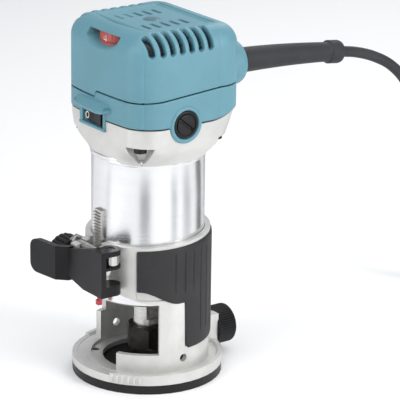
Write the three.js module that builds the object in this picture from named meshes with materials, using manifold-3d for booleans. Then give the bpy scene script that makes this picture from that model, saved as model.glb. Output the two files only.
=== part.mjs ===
// Trim router: a cast base with a clamp lever and a rack-and-pinion height drive, and a motor unit in it.
// Millimetres, +Z up, front (switch, lever, window) towards -Y, cord towards +Y.
import * as THREE from 'three';
import { mergeVertices } from 'three/addons/utils/BufferGeometryUtils.js';
import Module from 'manifold-3d';

const wasm = await Module();
wasm.setup();

// ---- driving dimensions -------------------------------------------------------------------------
const gap = 0.3; // clearance between pieces that touch or run in each other
const far = 150; // past every face, for cuts that run right through
const rad = Math.PI / 180;

const barrelRadius = 32.5;
const barrelBottom = 48.5;
const barrelTop = 132;
const barrelWall = 3;
const barrelFloor = 8.5;

const tubeWall = 3.2;
const rimHeight = 86.8; // at the barrel axis
const rimSlope = 0.058; // rise per millimetre towards the back
const slotLeft = -7.6;
const slotRight = 5.4;

const soleThickness = 5;
const soleInset = 0.15; // of the sole's edge from the flange's
const soleHole = 15.5;
const soleScrewCircle = 30.5;
const soleScrewAngles = [45, 135, 225, 315];
const soleScrewRadius = 2;
const soleHeadRadius = 3.6;
const soleSinkRadius = 4.6;
const soleSinkDepth = 2.6;

const flangeMargin = 11.25; // of the flange's edge from the barrel's radius
const flangeTop = 11.3;
const flangeStep = 9.4;
const flangeFloor = 8.2;
const flangeHole = 26;
const flangeRim = 2.2;
const crossHole = { radius: 2.4, y: 0.5, z: 17 };

// Cutter window: angles about the barrel axis, heights, and the arch over it as [x, z].
const windowAngles = { left: 193.5, lowLeft: 202, fence: 296, right: 336.5 };
const windowLevels = { fence: 20.6, step: 27, top: 75 };
const windowArch = [[60, 46], [31.7, 51.2], [19, 56], [6, 59.5], [-14, 59.5], [-34, 52], [-60, 46]];

const earThickness = 5.8;
const earReach = 5.6; // ahead of the clamp bolt
const earBottom = 62;
const earTopMargin = 3.8; // above the clamp bolt
const boltMargin = 2.6; // of the clamp bolt's axis from the tube
const boltRadius = 2.6;
const boltClearance = 0.8; // between the bolt and the pinion's teeth
const clampNutRadius = 5;
const clampNutThickness = 2.7;
const thrustWasherRadius = 4.1;
const thrustWasherThickness = 1.6;
const leverPivotX = 19.5;
const eyeRadius = 4.7;
const eyeHeight = 5.6;
const pinRadius = 2.1;
const lugRadius = 5.6;
const lugThickness = 1.7;
const leverEdge = 5.4; // past the pin's axis
const leverBottom = 59.5;
const leverRise = 6.2; // above the clamp bolt
const leverPlateThickness = 3.3;
const leverWaist = { x: -11.5, bottom: 63.4, top: 79 };
const leverHeel = 6;
const leverShoulder = 14;
const lowerLugTop = 65.6;
const leverEnd = -36.5;
const thumbTab = { bottom: 60.4, top: 80.6, bendX: -14.5, bendOut: 5.6, tipOut: 8.5, thickness: 3.3 };

const toothPitch = 1.8;
const pinionTeeth = 16;
const toothDepth = 1.1;
const toothBacklash = 0.45;
const addendum = 0.45 * toothDepth;
const dedendum = 0.65 * toothDepth;
const rackWidth = 7;
const rackSeat = 0.9; // depth of the rack's flat in the barrel
const rackThickness = 3.6; // back of the strip to its pitch line
const rackBottom = 52.5;
const rackTeeth = 27;
const pinionZ = 71.5;
const pinionShaftRadius = 3.1;
const pinionCollarRadius = 3.6;
const pinionEnd = 16;
const knobRadius = 10.6;
const knobNear = -17.2;
const knobFar = -28.7;
const knobFlutes = 16;
const knobScrewRadius = 1.5;
const knobScrewHead = 3;
const knobSocket = 2.7; // from the knob's outer face to the end of its bore

const pointer = { left: 4, right: 7, bottom: 48, top: 61, thickness: 1.6, toe: 3 };

const padThickness = 1.3;
const padTopDrop = 2.2;
const padBandBottom = 54;
const padLegBottom = 24;
const padFrontAngle = 44.6; // from the side axis towards the front
const padBackAngle = 62;
const padLegFront = 3;
const padLegInset = 8;

const bossHalfWidth = 9;
const bossReach = 9; // behind the tube
const bossTop = 26;
const guideScrewZ = 15.5;
const guideScrewRadius = 3;
const guideHeadRadius = 11.6;
const guideHeadLength = 10.5;
const guideWasherRadius = 6.5;
const guideWasherThickness = 1;

const headTop = 210.4;
const headRound = 12.4; // height of the rounding at the top
const flareHeight = 25.5;
const lowerCoverHeight = 18.5;
const coverWall = 2.6;
const headSideMargin = 8.5; // of the head's faces from the barrel's radius
const headFrontMargin = -1.3;
const headBackMargin = 6;
const bodyCorner = 15;
const bodyBulge = 4;
// Flare from the barrel to the head: height above the barrel, then how far the half width, the back,
// the corners and the bulge have gone from the barrel's circle to the head's outline.
const flareSteps = [[0, 0, 0, 0, 0], [3.5, 0.22, 0.12, 0.17, 0.25], [7, 0.48, 0.25, 0.31, 0.5],
  [10.7, 0.73, 0.32, 0.6, 0.75], [14, 0.88, 0.4, 0.83, 0.93], [18, 0.94, 0.52, 0.94, 1],
  [flareHeight - gap, 0.98, 0.72, 0.98, 1]];
const bead = { radius: 34.2, bottom: 0.4, top: 3 };

const brushY = -3;
const brushCapRadius = 8.1;
const brushBossWall = 2.7;
const brushHalf = { y: 3.1, z: 2.5 };
const brushHolderRadius = 6.4;
const brushSpringTurns = 3;
const brushSpringWire = 0.35;
const commutatorRadius = 12;
const screwSideInset = 12; // of the housing screws from the head's faces
const screwFrontInset = 5.7;
const screwBackInset = 12.5;
const screwRadius = 1.9;
const screwHeadRadius = 3.7;
const screwHeadHeight = 2.9;
const pocketHeight = 14; // ceiling above the barrel's top
const pocketDepth = 10;
const pocketRadius = 7.6;
const columnRadius = 4.2;
const columnTop = 172;
const webThickness = 2.4;

const switchX = -4;
const switchWidth = 18.6;
const switchDrop = 4.6; // below the lower cover's edge
const switchHeight = 8.4;
const switchDepth = 13.6;
const rockerDepth = 3.4;
const tabLeft = -17;
const tabRight = 6.5;
const tabDrop = 6.6;
const tabReach = 4.6;
const hoodReach = 4.4;
const hoodLeft = 20; // from the switch's middle
const hoodRight = 16;

const dialRadius = 13;
const dialSetback = 13.6; // of its axis behind the head's front
const dialHeight = 8.4;
const dialBelowTop = 12.6;
const dialRibs = 18;
const dialStemRadius = 3;
const dialClearance = 0.5;
const dialWindow = 11.5;

const ventPitch = 6.35;
const ventSetback = 6.6;
const ventCount = 7;
const ventWidth = 3.6;
const ventInner = 29; // x where a vent ends on the top
const ventRise = 0.5; // above the start of the rounding
const topSlotWidth = 1.9;
const topSlots = [[9, 19], [-18, -8]];
const topSlotSkip = 2; // vents without a slot behind them
const headScrewY = 1;
const headScrewRadius = 1.5;
const headScrewHead = 4.6;

const statorBottom = 84;
const statorDrop = 8; // its top below the barrel's
const armatureRadius = 17.2;
const armatureSlots = 12;
const slotDepth = 3;
const windingInner = 19;
const windingOuter = 27.5;
const windingHeight = 6.7;
const fanBottom = 59.4;
const fanTop = 70;
const fanMargin = 3.5; // between the blades and the barrel's bore
const fanHub = 10;
const fanBlades = 8;
const baffleBottom = 72;
const baffleHole = 20;
const shaftRadius = 5;
const rearShaftRadius = 4;
const noseRadius = 8.2;
const noseBottom = 18;
const noseBore = 5.9;
const noseFlats = { across: 13, bottom: 32, top: 40 };
const frontBearingRadius = 13;
const rearBearingRadius = 11;
const rearBearingHeight = 7;
const bracketCupRadius = 14;
const bracketBar = { thickness: 2.6, halfWidth: 7, top: 180.3 };
const bracketTop = 187;
const nutAcross = 22;
const nutBottom = 14;
const nutTop = 27.6;
const nutFloor = 17.6;
const colletBore = 4.1;
const colletRadius = 5.6;
const colletTop = 26;
const colletSlit = 0.7;

const glandRadius = 13.5;
const glandReach = 23.5; // behind the head
const glandRound = 2.6;
const guardRadius = 7.8;
const guardTip = 5.6;
const guardStart = 48;
const guardEnd = 137;
const guardDroop = 5.5;
const guardCollar = { radius: 9.8, length: 4 };
const guardRingRadius = 7;
const cordRadius = 3.25;
const clampBlock = { halfWidth: 12, front: 9.5, back: 4 }; // front and back from the head's back face

// ---- worked out from them -----------------------------------------------------------------------
const tubeBore = barrelRadius + gap;
const tubeRadius = tubeBore + tubeWall;
const flangeRadius = barrelRadius + flangeMargin;
const soleRadius = flangeRadius - soleInset;
const bossBack = tubeRadius + bossReach;
const pitchRadius = (toothPitch * pinionTeeth) / (2 * Math.PI);
const rackBack = -(barrelRadius - rackSeat);
const rackPitchY = rackBack - rackThickness;
const pinionY = rackPitchY - pitchRadius;
const leverY = -(tubeRadius + boltMargin);
const boltZ = pinionZ + pitchRadius + addendum + boltRadius + boltClearance;
const earFront = leverY - earReach;
const leverTop = boltZ + leverRise;
const leverPlateBack = pinionY - pitchRadius - addendum - gap;
const nutFace = slotLeft - earThickness - gap;
const washerFace = slotRight + earThickness + gap;

const bodyHalfWidth = barrelRadius + headSideMargin;
const bodyFront = -(barrelRadius + headFrontMargin);
const bodyBack = barrelRadius + headBackMargin;
const coverBottom = barrelTop + flareHeight;
const partingZ = coverBottom + lowerCoverHeight;
const headShoulder = headTop - headRound;
const brushZ = coverBottom + 0.5;
const brushBossRadius = brushCapRadius + brushBossWall;
const brushSeat = bodyHalfWidth - 5; // outer end of the brush holders
const screwX = bodyHalfWidth - screwSideInset;
const screwYs = [bodyFront + screwFrontInset, bodyBack - screwBackInset];
const screwCeiling = barrelTop + pocketHeight;
const switchBottom = coverBottom - switchDrop;
const switchTop = switchBottom + switchHeight;
const tabBottom = coverBottom - tabDrop;
const dialY = bodyFront + dialSetback;
const dialBottom = headTop - dialBelowTop;
const ventFirst = bodyFront + ventSetback;
const ventBottom = headShoulder + ventRise;
const statorTop = barrelTop - statorDrop;
const rearBearingBottom = coverBottom + 13.8;
const glandBack = bodyBack + glandReach;
const boreRadius = barrelRadius - barrelWall;

const bodySection = { half: bodyHalfWidth, front: bodyFront, back: bodyBack, corner: bodyCorner,
  bulge: bodyBulge };
const between = (a, b, t) => a + (b - a) * t;
const flareSections = flareSteps.map(([rise, half, back, corner, bulge]) => [barrelTop + rise, {
  half: between(barrelRadius, bodyHalfWidth, half),
  front: between(-barrelRadius, bodyFront, half),
  back: between(barrelRadius, bodyBack, back),
  corner: between(barrelRadius, bodyCorner, corner),
  bulge: bodyBulge * bulge,
}]);

// ---- solids -------------------------------------------------------------------------------------
function toSolid(geometry) {
  const bare = new THREE.BufferGeometry();
  bare.setAttribute('position', geometry.getAttribute('position').clone());
  if (geometry.index) bare.setIndex(geometry.index.clone());
  const merged = mergeVertices(bare, 1e-4);
  const p = merged.getAttribute('position');
  const triangles = [];
  let volume = 0;
  for (let i = 0; i < merged.index.count; i += 3) {
    const [a, b, c] = [0, 1, 2].map((k) => merged.index.getX(i + k));
    if (a === b || b === c || c === a) continue;
    triangles.push([a, b, c]);
    const [va, vb, vc] = [a, b, c].map((v) => new THREE.Vector3().fromBufferAttribute(p, v));
    volume += va.dot(vb.cross(vc));
  }
  const ordered = triangles.map(([a, b, c]) => (volume < 0 ? [a, c, b] : [a, b, c]));
  const mesh = new wasm.Mesh({
    numProp: 3,
    vertProperties: Float32Array.from(p.array),
    triVerts: Uint32Array.from(ordered.flat()),
  });
  return new wasm.Manifold(mesh);
}

function toGeometry(solid) {
  const mesh = solid.getMesh();
  const geometry = new THREE.BufferGeometry();
  geometry.setAttribute('position', new THREE.BufferAttribute(Float32Array.from(mesh.vertProperties), 3));
  geometry.setIndex(Array.from(mesh.triVerts));
  geometry.computeVertexNormals();
  return geometry;
}

const unite = (...solids) => solids.reduce((a, b) => a.add(b));
const cut = (body, ...tools) => tools.reduce((a, b) => a.subtract(b), body);

function box(x0, x1, y0, y1, z0, z1) {
  const g = new THREE.BoxGeometry(x1 - x0, y1 - y0, z1 - z0);
  return toSolid(g.translate((x0 + x1) / 2, (y0 + y1) / 2, (z0 + z1) / 2));
}

// A cylinder or cone between two stations of an axis; the centre gives the other two coordinates.
function rod(axis, centre, from, to, r0, r1 = r0, sides = 24) {
  const g = new THREE.CylinderGeometry(r1, r0, to - from, sides);
  g.translate(0, (from + to) / 2, 0);
  if (axis === 'z') g.rotateX(Math.PI / 2).translate(centre[0], centre[1], 0);
  if (axis === 'x') g.rotateZ(-Math.PI / 2).translate(0, centre[0], centre[1]);
  if (axis === 'y') g.translate(centre[0], 0, centre[1]);
  return toSolid(g);
}

// Turned solid: a profile of [radius, height] that starts and ends on the axis, or is closed here.
function lathe(profile, sides = 48) {
  const closed = profile[0][0] > 0 ? [...profile, profile[0]] : profile;
  const points = closed.map(([r, z]) => new THREE.Vector2(r, z));
  return toSolid(new THREE.LatheGeometry(points, sides).rotateX(Math.PI / 2));
}

function ring(inner, outer, z0, z1, sides = 32) {
  return lathe([[inner, z0], [outer, z0], [outer, z1], [inner, z1]], sides);
}

function prism(axis, outline, from, to) {
  const shape = new THREE.Shape(outline.map(([a, b]) => new THREE.Vector2(a, b)));
  const g = new THREE.ExtrudeGeometry(shape, { depth: to - from, bevelEnabled: false, curveSegments: 4 });
  g.translate(0, 0, from);
  if (axis === 'x') g.applyMatrix4(new THREE.Matrix4().set(0, 0, 1, 0, 1, 0, 0, 0, 0, 1, 0, 0, 0, 0, 0, 1));
  if (axis === 'y') g.applyMatrix4(new THREE.Matrix4().set(1, 0, 0, 0, 0, 0, 1, 0, 0, 1, 0, 0, 0, 0, 0, 1));
  return toSolid(g);
}

function sector(fromDegrees, toDegrees, radius, z0, z1) {
  const steps = Math.ceil((toDegrees - fromDegrees) / 15); // an arc of 15 degrees or less a step
  const outline = [[0, 0]];
  for (let i = 0; i <= steps; i += 1) {
    const a = (fromDegrees + ((toDegrees - fromDegrees) * i) / steps) * rad;
    outline.push([radius * Math.cos(a), radius * Math.sin(a)]);
  }
  return prism('z', outline, z0, z1);
}

// Skin through rings of equal point count, closed by a fan at each end.
function loft(rings) {
  const n = rings[0].length;
  const vertices = rings.flat();
  const faces = [];
  for (let r = 0; r < rings.length - 1; r += 1) {
    for (let i = 0; i < n; i += 1) {
      const a = r * n + i;
      const b = r * n + ((i + 1) % n);
      faces.push(a, b, b + n, a, b + n, a + n);
    }
  }
  for (const [base, flip] of [[0, true], [(rings.length - 1) * n, false]]) {
    const centre = rings[base / n].reduce((s, p) => s.map((v, k) => v + p[k] / n), [0, 0, 0]);
    const c = vertices.push(centre) - 1;
    for (let i = 0; i < n; i += 1) {
      const a = base + i;
      const b = base + ((i + 1) % n);
      faces.push(...(flip ? [c, b, a] : [c, a, b]));
    }
  }
  const geometry = new THREE.BufferGeometry();
  geometry.setAttribute('position', new THREE.Float32BufferAttribute(vertices.flat(), 3));
  geometry.setIndex(faces);
  return toSolid(geometry);
}

// Plan outline of the motor head: a rounded rectangle whose front face bows outwards.
function headOutline({ half, front, back, corner, bulge }, z, inset = 0) {
  const r = Math.max(corner - inset, 1.5);
  const [hx, y0, y1] = [half - inset, front + inset, back - inset];
  const corners = [[hx - r, y1 - r, 0], [-hx + r, y1 - r, 90], [-hx + r, y0 + r, 180], [hx - r, y0 + r, 270]];
  const points = [];
  corners.forEach(([cx, cy, start], k) => {
    for (let i = 0; i <= 4; i += 1) {
      const a = (start + i * 22.5) * rad;
      points.push([cx + r * Math.cos(a), cy + r * Math.sin(a)]);
    }
    if (k === 2) for (let i = 1; i <= 4; i += 1) points.push([(-hx + r) * (1 - (2 * i) / 5), y0]);
  });
  return points.map(([x, y]) => {
    const bow = y < 0 ? bulge * Math.max(0, 1 - (x / hx) ** 2) * Math.min(1, (y / y0) ** 2) : 0;
    return [x, y - bow, z];
  });
}

function rimCutter() {
  const low = rimHeight - rimSlope * far;
  const high = rimHeight + rimSlope * far;
  return prism('x', [[-far, low], [far, high], [far, high + far], [-far, high + far]], -far, far);
}

function padSolid(side, inner, outer, grow) {
  const mirror = (from, to) => (side > 0 ? [from, to] : [180 - to, 180 - from]);
  const spread = grow / tubeRadius / rad;
  const [from, to] = mirror(-padFrontAngle, padBackAngle);
  const [legFrom, legTo] = mirror(padLegFront, padBackAngle - padLegInset);
  const band = sector(from - spread, to + spread, 2 * tubeRadius, padBandBottom - grow, rimHeight + tubeRadius);
  const leg = sector(legFrom - spread, legTo + spread, 2 * tubeRadius, padLegBottom - grow, padBandBottom + 1);
  const lid = rimCutter().translate([0, 0, grow - padTopDrop]);
  return cut(unite(band, leg), lid).intersect(ring(inner, outer, 0, 2 * rimHeight, 44));
}

function windowCutter() {
  const { left, lowLeft, fence, right } = windowAngles;
  const upper = sector(left, right, 2 * tubeRadius, windowLevels.step, windowLevels.top);
  const lower = sector(lowLeft, right, 2 * tubeRadius, windowLevels.fence, windowLevels.step + 1);
  const mouth = sector(lowLeft, fence, 2 * tubeRadius, flangeStep + gap, windowLevels.fence + gap);
  const arch = [[-far, 0], [far, 0], [far, windowArch[0][1]], ...windowArch.slice(1, -1),
    [-far, windowArch.at(-1)[1]]];
  return unite(upper, lower, mouth).intersect(prism('y', arch, -far, 5));
}

const onCircle = (radius, angle) => [radius * Math.cos(angle * rad), radius * Math.sin(angle * rad)];

function clampEar(x0, x1) {
  const [inner, top] = [-(tubeRadius - 11), boltZ + earTopMargin];
  return prism('x', [[inner, earBottom], [earFront + 6, earBottom], [earFront, earBottom + 6],
    [earFront, top - 2.8], [3 - tubeRadius, top], [inner, top]], x0, x1);
}

function baseCasting() {
  const bottom = soleThickness + gap;
  const rimInner = flangeRadius - flangeRim;
  const profile = [[0, bottom], [flangeRadius, bottom], [flangeRadius, flangeTop], [rimInner, flangeTop],
    [rimInner - 1, flangeStep], [tubeRadius, flangeStep], [tubeRadius, far], [0, far]];
  const boss = box(-bossHalfWidth, bossHalfWidth, tubeRadius / 2, bossBack, bottom, bossTop);
  const body = unite(lathe(profile, 44), clampEar(slotLeft - earThickness, slotLeft),
    clampEar(slotRight, slotRight + earThickness), boss);
  const bores = [rod('z', [0, 0], flangeFloor, far, tubeBore, tubeBore, 44),
    rod('z', [0, 0], 0, far, flangeHole)];
  const crossHoles = [rod('x', [pinionY, pinionZ], -far, far, pinionShaftRadius + gap),
    rod('x', [leverY, boltZ], -far, far, boltRadius + gap),
    rod('x', [crossHole.y, crossHole.z], -far, far, crossHole.radius, crossHole.radius, 12)];
  const screwHoles = soleScrewAngles.map((a) => rod('z', onCircle(soleScrewCircle, a), 0, 2 * flangeTop,
    soleScrewRadius + gap, soleScrewRadius + gap, 10));
  return cut(body, ...bores, rimCutter(), windowCutter(),
    box(slotLeft, slotRight, -far, -tubeRadius / 2, windowLevels.step, far),
    rod('x', [pinionY, pinionZ], knobFar - 2, knobNear + gap, knobRadius + 2 * gap),
    ...crossHoles, ...screwHoles,
    rod('y', [0, guideScrewZ], tubeRadius + 1, far, guideScrewRadius + gap),
    padSolid(1, tubeRadius - 0.8, 2 * tubeRadius, gap), padSolid(-1, tubeRadius - 0.8, 2 * tubeRadius, gap));
}

function solePlate() {
  const plate = ring(soleHole, soleRadius, 0, soleThickness, 44);
  const holes = soleScrewAngles.flatMap((a) => {
    const at = onCircle(soleScrewCircle, a);
    return [rod('z', at, -1, soleThickness + 1, soleScrewRadius + gap, soleScrewRadius + gap, 10),
      rod('z', at, -1, soleSinkDepth, soleSinkRadius, soleScrewRadius + gap, 16)];
  });
  return cut(plate, ...holes);
}

function soleScrew(angle) {
  const at = onCircle(soleScrewCircle, angle);
  return unite(rod('z', at, gap, soleSinkDepth - gap, soleHeadRadius, soleScrewRadius - 0.1, 16),
    rod('z', at, soleSinkDepth - 2 * gap, flangeFloor - gap, soleScrewRadius, soleScrewRadius, 10));
}

function guideScrew() {
  const headStart = bossBack + guideWasherThickness + 2 * gap;
  const head = rod('y', [0, guideScrewZ], headStart, headStart + guideHeadLength, guideHeadRadius,
    guideHeadRadius, 32);
  return unite(head, rod('y', [0, guideScrewZ], tubeRadius + 2, headStart + 1, guideScrewRadius));
}

function guideWasher() {
  const start = bossBack + gap;
  const disc = rod('y', [0, guideScrewZ], start, start + guideWasherThickness, guideWasherRadius);
  return cut(disc, rod('y', [0, guideScrewZ], 0, far, guideScrewRadius + gap));
}

function clampBolt() {
  const shank = rod('x', [leverY, boltZ], nutFace - clampNutThickness, leverPivotX, boltRadius);
  const eye = rod('z', [leverPivotX, leverY], boltZ - eyeHeight / 2, boltZ + eyeHeight / 2, eyeRadius);
  return cut(unite(shank, eye), rod('z', [leverPivotX, leverY], 0, far, pinRadius + gap, pinRadius + gap, 16));
}

function clampNut() {
  const body = rod('x', [leverY, boltZ], nutFace - clampNutThickness, nutFace, clampNutRadius, clampNutRadius, 6);
  return cut(body, rod('x', [leverY, boltZ], -far, 0, boltRadius + gap));
}

function thrustWasher() {
  const body = rod('x', [leverY, boltZ], washerFace, washerFace + thrustWasherThickness, thrustWasherRadius);
  return cut(body, rod('x', [leverY, boltZ], 0, far, boltRadius + gap));
}

const leverPin = () => rod('z', [leverPivotX, leverY], boltZ - eyeHeight / 2 - lugThickness, leverTop - gap,
  pinRadius, pinRadius, 16);

function lockingLever() {
  const front = leverPlateBack - leverPlateThickness;
  const edge = leverPivotX + leverEdge;
  const { x: waistX, bottom: waistBottom, top: waistTop } = leverWaist;
  const side = [[edge, leverBottom], [edge, leverTop], [leverShoulder, leverTop], [waistX, waistTop],
    [waistX, waistBottom], [leverHeel, leverBottom]];
  const { bendX, bendOut, tipOut, thickness, bottom, top } = thumbTab;
  const grip = [[waistX + 2.5, front], [bendX, front - bendOut], [leverEnd, front - tipOut],
    [leverEnd + 0.5, front - tipOut + thickness], [bendX - 1.1, front - bendOut + thickness],
    [waistX + 0.5, leverPlateBack], [waistX + 2.5, leverPlateBack]];
  const eyeTop = boltZ + eyeHeight / 2 + gap;
  const eyeBottom = boltZ - eyeHeight / 2 - gap;
  const levels = [[eyeTop, leverTop], [eyeBottom - lugThickness, eyeBottom], [leverBottom, lowerLugTop]];
  const lugs = levels.map(([z0, z1]) => unite(rod('z', [leverPivotX, leverY], z0, z1, lugRadius),
    box(leverPivotX - leverEdge, edge, leverPlateBack - 1, leverY, z0, z1)));
  const hole = rod('z', [leverPivotX, leverY], lowerLugTop + 1, far, pinRadius + gap, pinRadius + gap, 16);
  return cut(unite(prism('y', side, front, leverPlateBack), prism('z', grip, bottom, top), ...lugs), hole);
}

// Outline of a toothed wheel with straight-sided teeth, in a plane, one tooth pointing along +a.
const toothHalf = (toothPitch / 2 - toothBacklash) / 2;
const [tipShare, rootShare] = [0.55, 1.7]; // of a tooth's half width at its pitch line

function wheelOutline() {
  const outline = [];
  const half = toothHalf / pitchRadius;
  for (let i = 0; i < pinionTeeth; i += 1) {
    const a = (i / pinionTeeth) * 2 * Math.PI;
    const [tip, root] = [pitchRadius + addendum, pitchRadius - dedendum];
    outline.push([root, a - half * rootShare], [tip, a - half * tipShare], [tip, a + half * tipShare],
      [root, a + half * rootShare]);
  }
  return outline.map(([r, a]) => [r * Math.cos(a), r * Math.sin(a)]);
}

function pinionShaft() {
  const teeth = prism('x', wheelOutline().map(([a, b]) => [pinionY + a, pinionZ + b]), -rackWidth / 2,
    rackWidth / 2);
  const shaft = rod('x', [pinionY, pinionZ], knobFar + knobSocket + gap, pinionEnd - 1.4, pinionShaftRadius);
  return unite(teeth, shaft, rod('x', [pinionY, pinionZ], washerFace, pinionEnd, pinionCollarRadius));
}

function adjustingKnob() {
  const outline = [];
  for (let i = 0; i < knobFlutes * 4; i += 1) {
    const r = knobRadius - (i % 4 === 0 ? 0.7 : 0);
    const a = (i / (knobFlutes * 4)) * 2 * Math.PI;
    outline.push([pinionY + r * Math.cos(a), pinionZ + r * Math.sin(a)]);
  }
  return cut(prism('x', outline, knobFar, knobNear),
    rod('x', [pinionY, pinionZ], knobFar + knobSocket, 0, pinionShaftRadius + gap),
    rod('x', [pinionY, pinionZ], -far, knobFar + knobSocket + gap, knobScrewRadius + gap, knobScrewRadius + gap, 12));
}

function knobScrew() {
  const head = rod('x', [pinionY, pinionZ], knobFar - 1.9, knobFar - gap, knobScrewHead);
  return unite(head, rod('x', [pinionY, pinionZ], knobFar - 1, knobFar + knobSocket - gap, knobScrewRadius,
    knobScrewRadius, 12));
}

// The rack's first tooth is placed so that a gap faces the pinion tooth that points at the barrel.
function depthRack() {
  const [tip, root] = [rackPitchY - addendum, rackPitchY + dedendum];
  const first = pinionZ + toothPitch / 2 - Math.floor((pinionZ - rackBottom) / toothPitch) * toothPitch;
  const outline = [[rackBack - gap, rackBottom - 1.5], [root, rackBottom - 1.5]];
  for (let i = 0; i < rackTeeth; i += 1) {
    const z = first + i * toothPitch;
    outline.push([root, z - toothHalf * rootShare], [tip, z - toothHalf * tipShare],
      [tip, z + toothHalf * tipShare], [root, z + toothHalf * rootShare]);
  }
  const end = first + rackTeeth * toothPitch;
  outline.push([root, end], [rackBack - gap, end]);
  return prism('x', outline, -rackWidth / 2, rackWidth / 2);
}

function depthPointer() {
  const face = -tubeRadius - gap / 3;
  const { left, right, bottom, top, thickness, toe } = pointer;
  return unite(box(left, right, face - thickness, face, bottom, top),
    box(left, right, face - thickness - 1, face - 1, bottom, bottom + toe));
}

function atScrews(make) {
  return [-1, 1].flatMap((side) => screwYs.map((y) => make(side, y)));
}

function motorHousing() {
  const outer = unite(rod('z', [0, 0], barrelBottom, barrelTop + 0.5, barrelRadius, barrelRadius, 44),
    loft(flareSections.map(([z, s]) => headOutline(s, z))));
  const collar = lathe([[boreRadius - 1, barrelTop + bead.bottom], [bead.radius - 1, barrelTop + bead.bottom],
    [bead.radius, barrelTop + bead.bottom + 1.2], [bead.radius, barrelTop + bead.top],
    [boreRadius - 1, barrelTop + bead.top]], 44);
  const inner = unite(rod('z', [0, 0], barrelBottom + barrelFloor, barrelTop + 18, boreRadius, boreRadius, 36),
    loft([barrelTop + 18, coverBottom + 8].map((z) => headOutline(bodySection, z, coverWall + 1))));
  const pockets = atScrews((side, y) => rod('z', [side * screwX, y], screwCeiling - pocketDepth, screwCeiling,
    pocketRadius));
  const holes = atScrews((side, y) => rod('z', [side * screwX, y], screwCeiling - 6, far + 50, screwRadius + gap,
    screwRadius + gap, 12));
  return cut(unite(outer, collar), inner, ...pockets, ...holes,
    rod('z', [0, 0], barrelBottom + 1.8, 70, frontBearingRadius + gap, frontBearingRadius + gap, 32),
    rod('z', [0, 0], 40, 60, noseRadius + gap, noseRadius + gap, 32),
    rod('x', [brushY, brushZ], -far, far, brushBossRadius + gap, brushBossRadius + gap, 32),
    box(-rackWidth / 2 - gap, rackWidth / 2 + gap, -far, rackBack, barrelBottom - 1, 104),
    box(tabLeft - gap, tabRight + gap, -far, bodyFront + 5, tabBottom - gap, coverBottom + 8));
}

function headShell(z0, z1, inset) {
  const rings = [headOutline(bodySection, z0, inset)];
  const r = headRound - 0.6;
  if (z1 < headShoulder) rings.push(headOutline(bodySection, z1, inset));
  else {
    for (let a = 0; a <= 90; a += 22.5) {
      const z = headShoulder + (r - inset) * Math.sin(a * rad);
      rings.push(headOutline(bodySection, z, inset + (r - inset) * (1 - Math.cos(a * rad))));
    }
  }
  return loft(rings);
}

const glandRod = (from, to, r0, r1 = r0, sides = 24) => rod('y', [0, partingZ], from, to, r0, r1, sides);
const glandBody = () => unite(glandRod(bodyBack - 14.5, glandBack - 4, glandRadius, glandRadius, 28),
  glandRod(glandBack - 4.01, glandBack, glandRadius, glandRadius - glandRound, 28));
const glandBore = () => unite(glandRod(bodyBack - 4.5, glandBack + 2, guardRadius + gap),
  glandRod(guardStart - gap, guardStart + guardCollar.length + gap, guardCollar.radius + gap));

// A span of x on one side of the machine, mirrored for the other.
const onSide = (side, from, to) => (side > 0 ? [from, to] : [-to, -from]);

function brushBoss(side) {
  const [x0, x1] = onSide(side, bodyHalfWidth - 8, bodyHalfWidth + 0.5);
  return rod('x', [brushY, brushZ], x0, x1, brushBossRadius, brushBossRadius, 32);
}

function screwColumns(z0) {
  return atScrews((side, y) => {
    const [x0, x1] = onSide(side, screwX, bodyHalfWidth - 1);
    return unite(rod('z', [side * screwX, y], z0, columnTop, columnRadius, columnRadius, 16),
      box(x0, x1, y - webThickness / 2, y + webThickness / 2, z0, columnTop));
  });
}

function lowerCover() {
  const z0 = coverBottom + gap;
  const shell = unite(headShell(z0, partingZ, 0), glandBody(), brushBoss(1), brushBoss(-1),
    box(tabLeft, tabRight, bodyFront - tabReach, bodyFront + 2.7, tabBottom, z0 + 6));
  const brow = bodyFront - bodyBulge - hoodReach;
  const hood = prism('x', [[bodyFront + 1.2, switchTop - gap], [brow, switchTop + 0.2], [brow, switchTop + 2.6],
    [bodyFront + 1.2, switchTop + 9]], switchX - hoodLeft, switchX + hoodRight);
  const hollow = cut(unite(shell, hood), headShell(z0 - 1, partingZ + 1, coverWall), glandBore(),
    box(-far, far, -far, far, partingZ - gap / 2, 2 * far));
  const holes = atScrews((side, y) => rod('z', [side * screwX, y], far, columnTop - 2, screwRadius + gap,
    screwRadius + gap, 12));
  return cut(unite(hollow, ...screwColumns(z0)), ...holes,
    rod('x', [brushY, brushZ], -far, far, brushCapRadius + gap, brushCapRadius + gap, 32),
    box(switchX - switchWidth / 2 - gap, switchX + switchWidth / 2 + gap, -far, bodyFront + 11,
      switchBottom - gap, switchTop + gap));
}

function ventTools() {
  const tools = [];
  for (let i = 0; i < ventCount; i += 1) {
    const y = ventFirst + i * ventPitch;
    for (const side of [-1, 1]) {
      tools.push(box(...onSide(side, ventInner, far), y - ventWidth / 2, y + ventWidth / 2, ventBottom, 2 * far));
    }
    if (i < topSlotSkip) continue;
    for (const [x0, x1] of topSlots) {
      tools.push(box(x0, x1, y - topSlotWidth / 2, y + topSlotWidth / 2, headShoulder, 2 * far));
    }
  }
  return tools;
}

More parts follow.
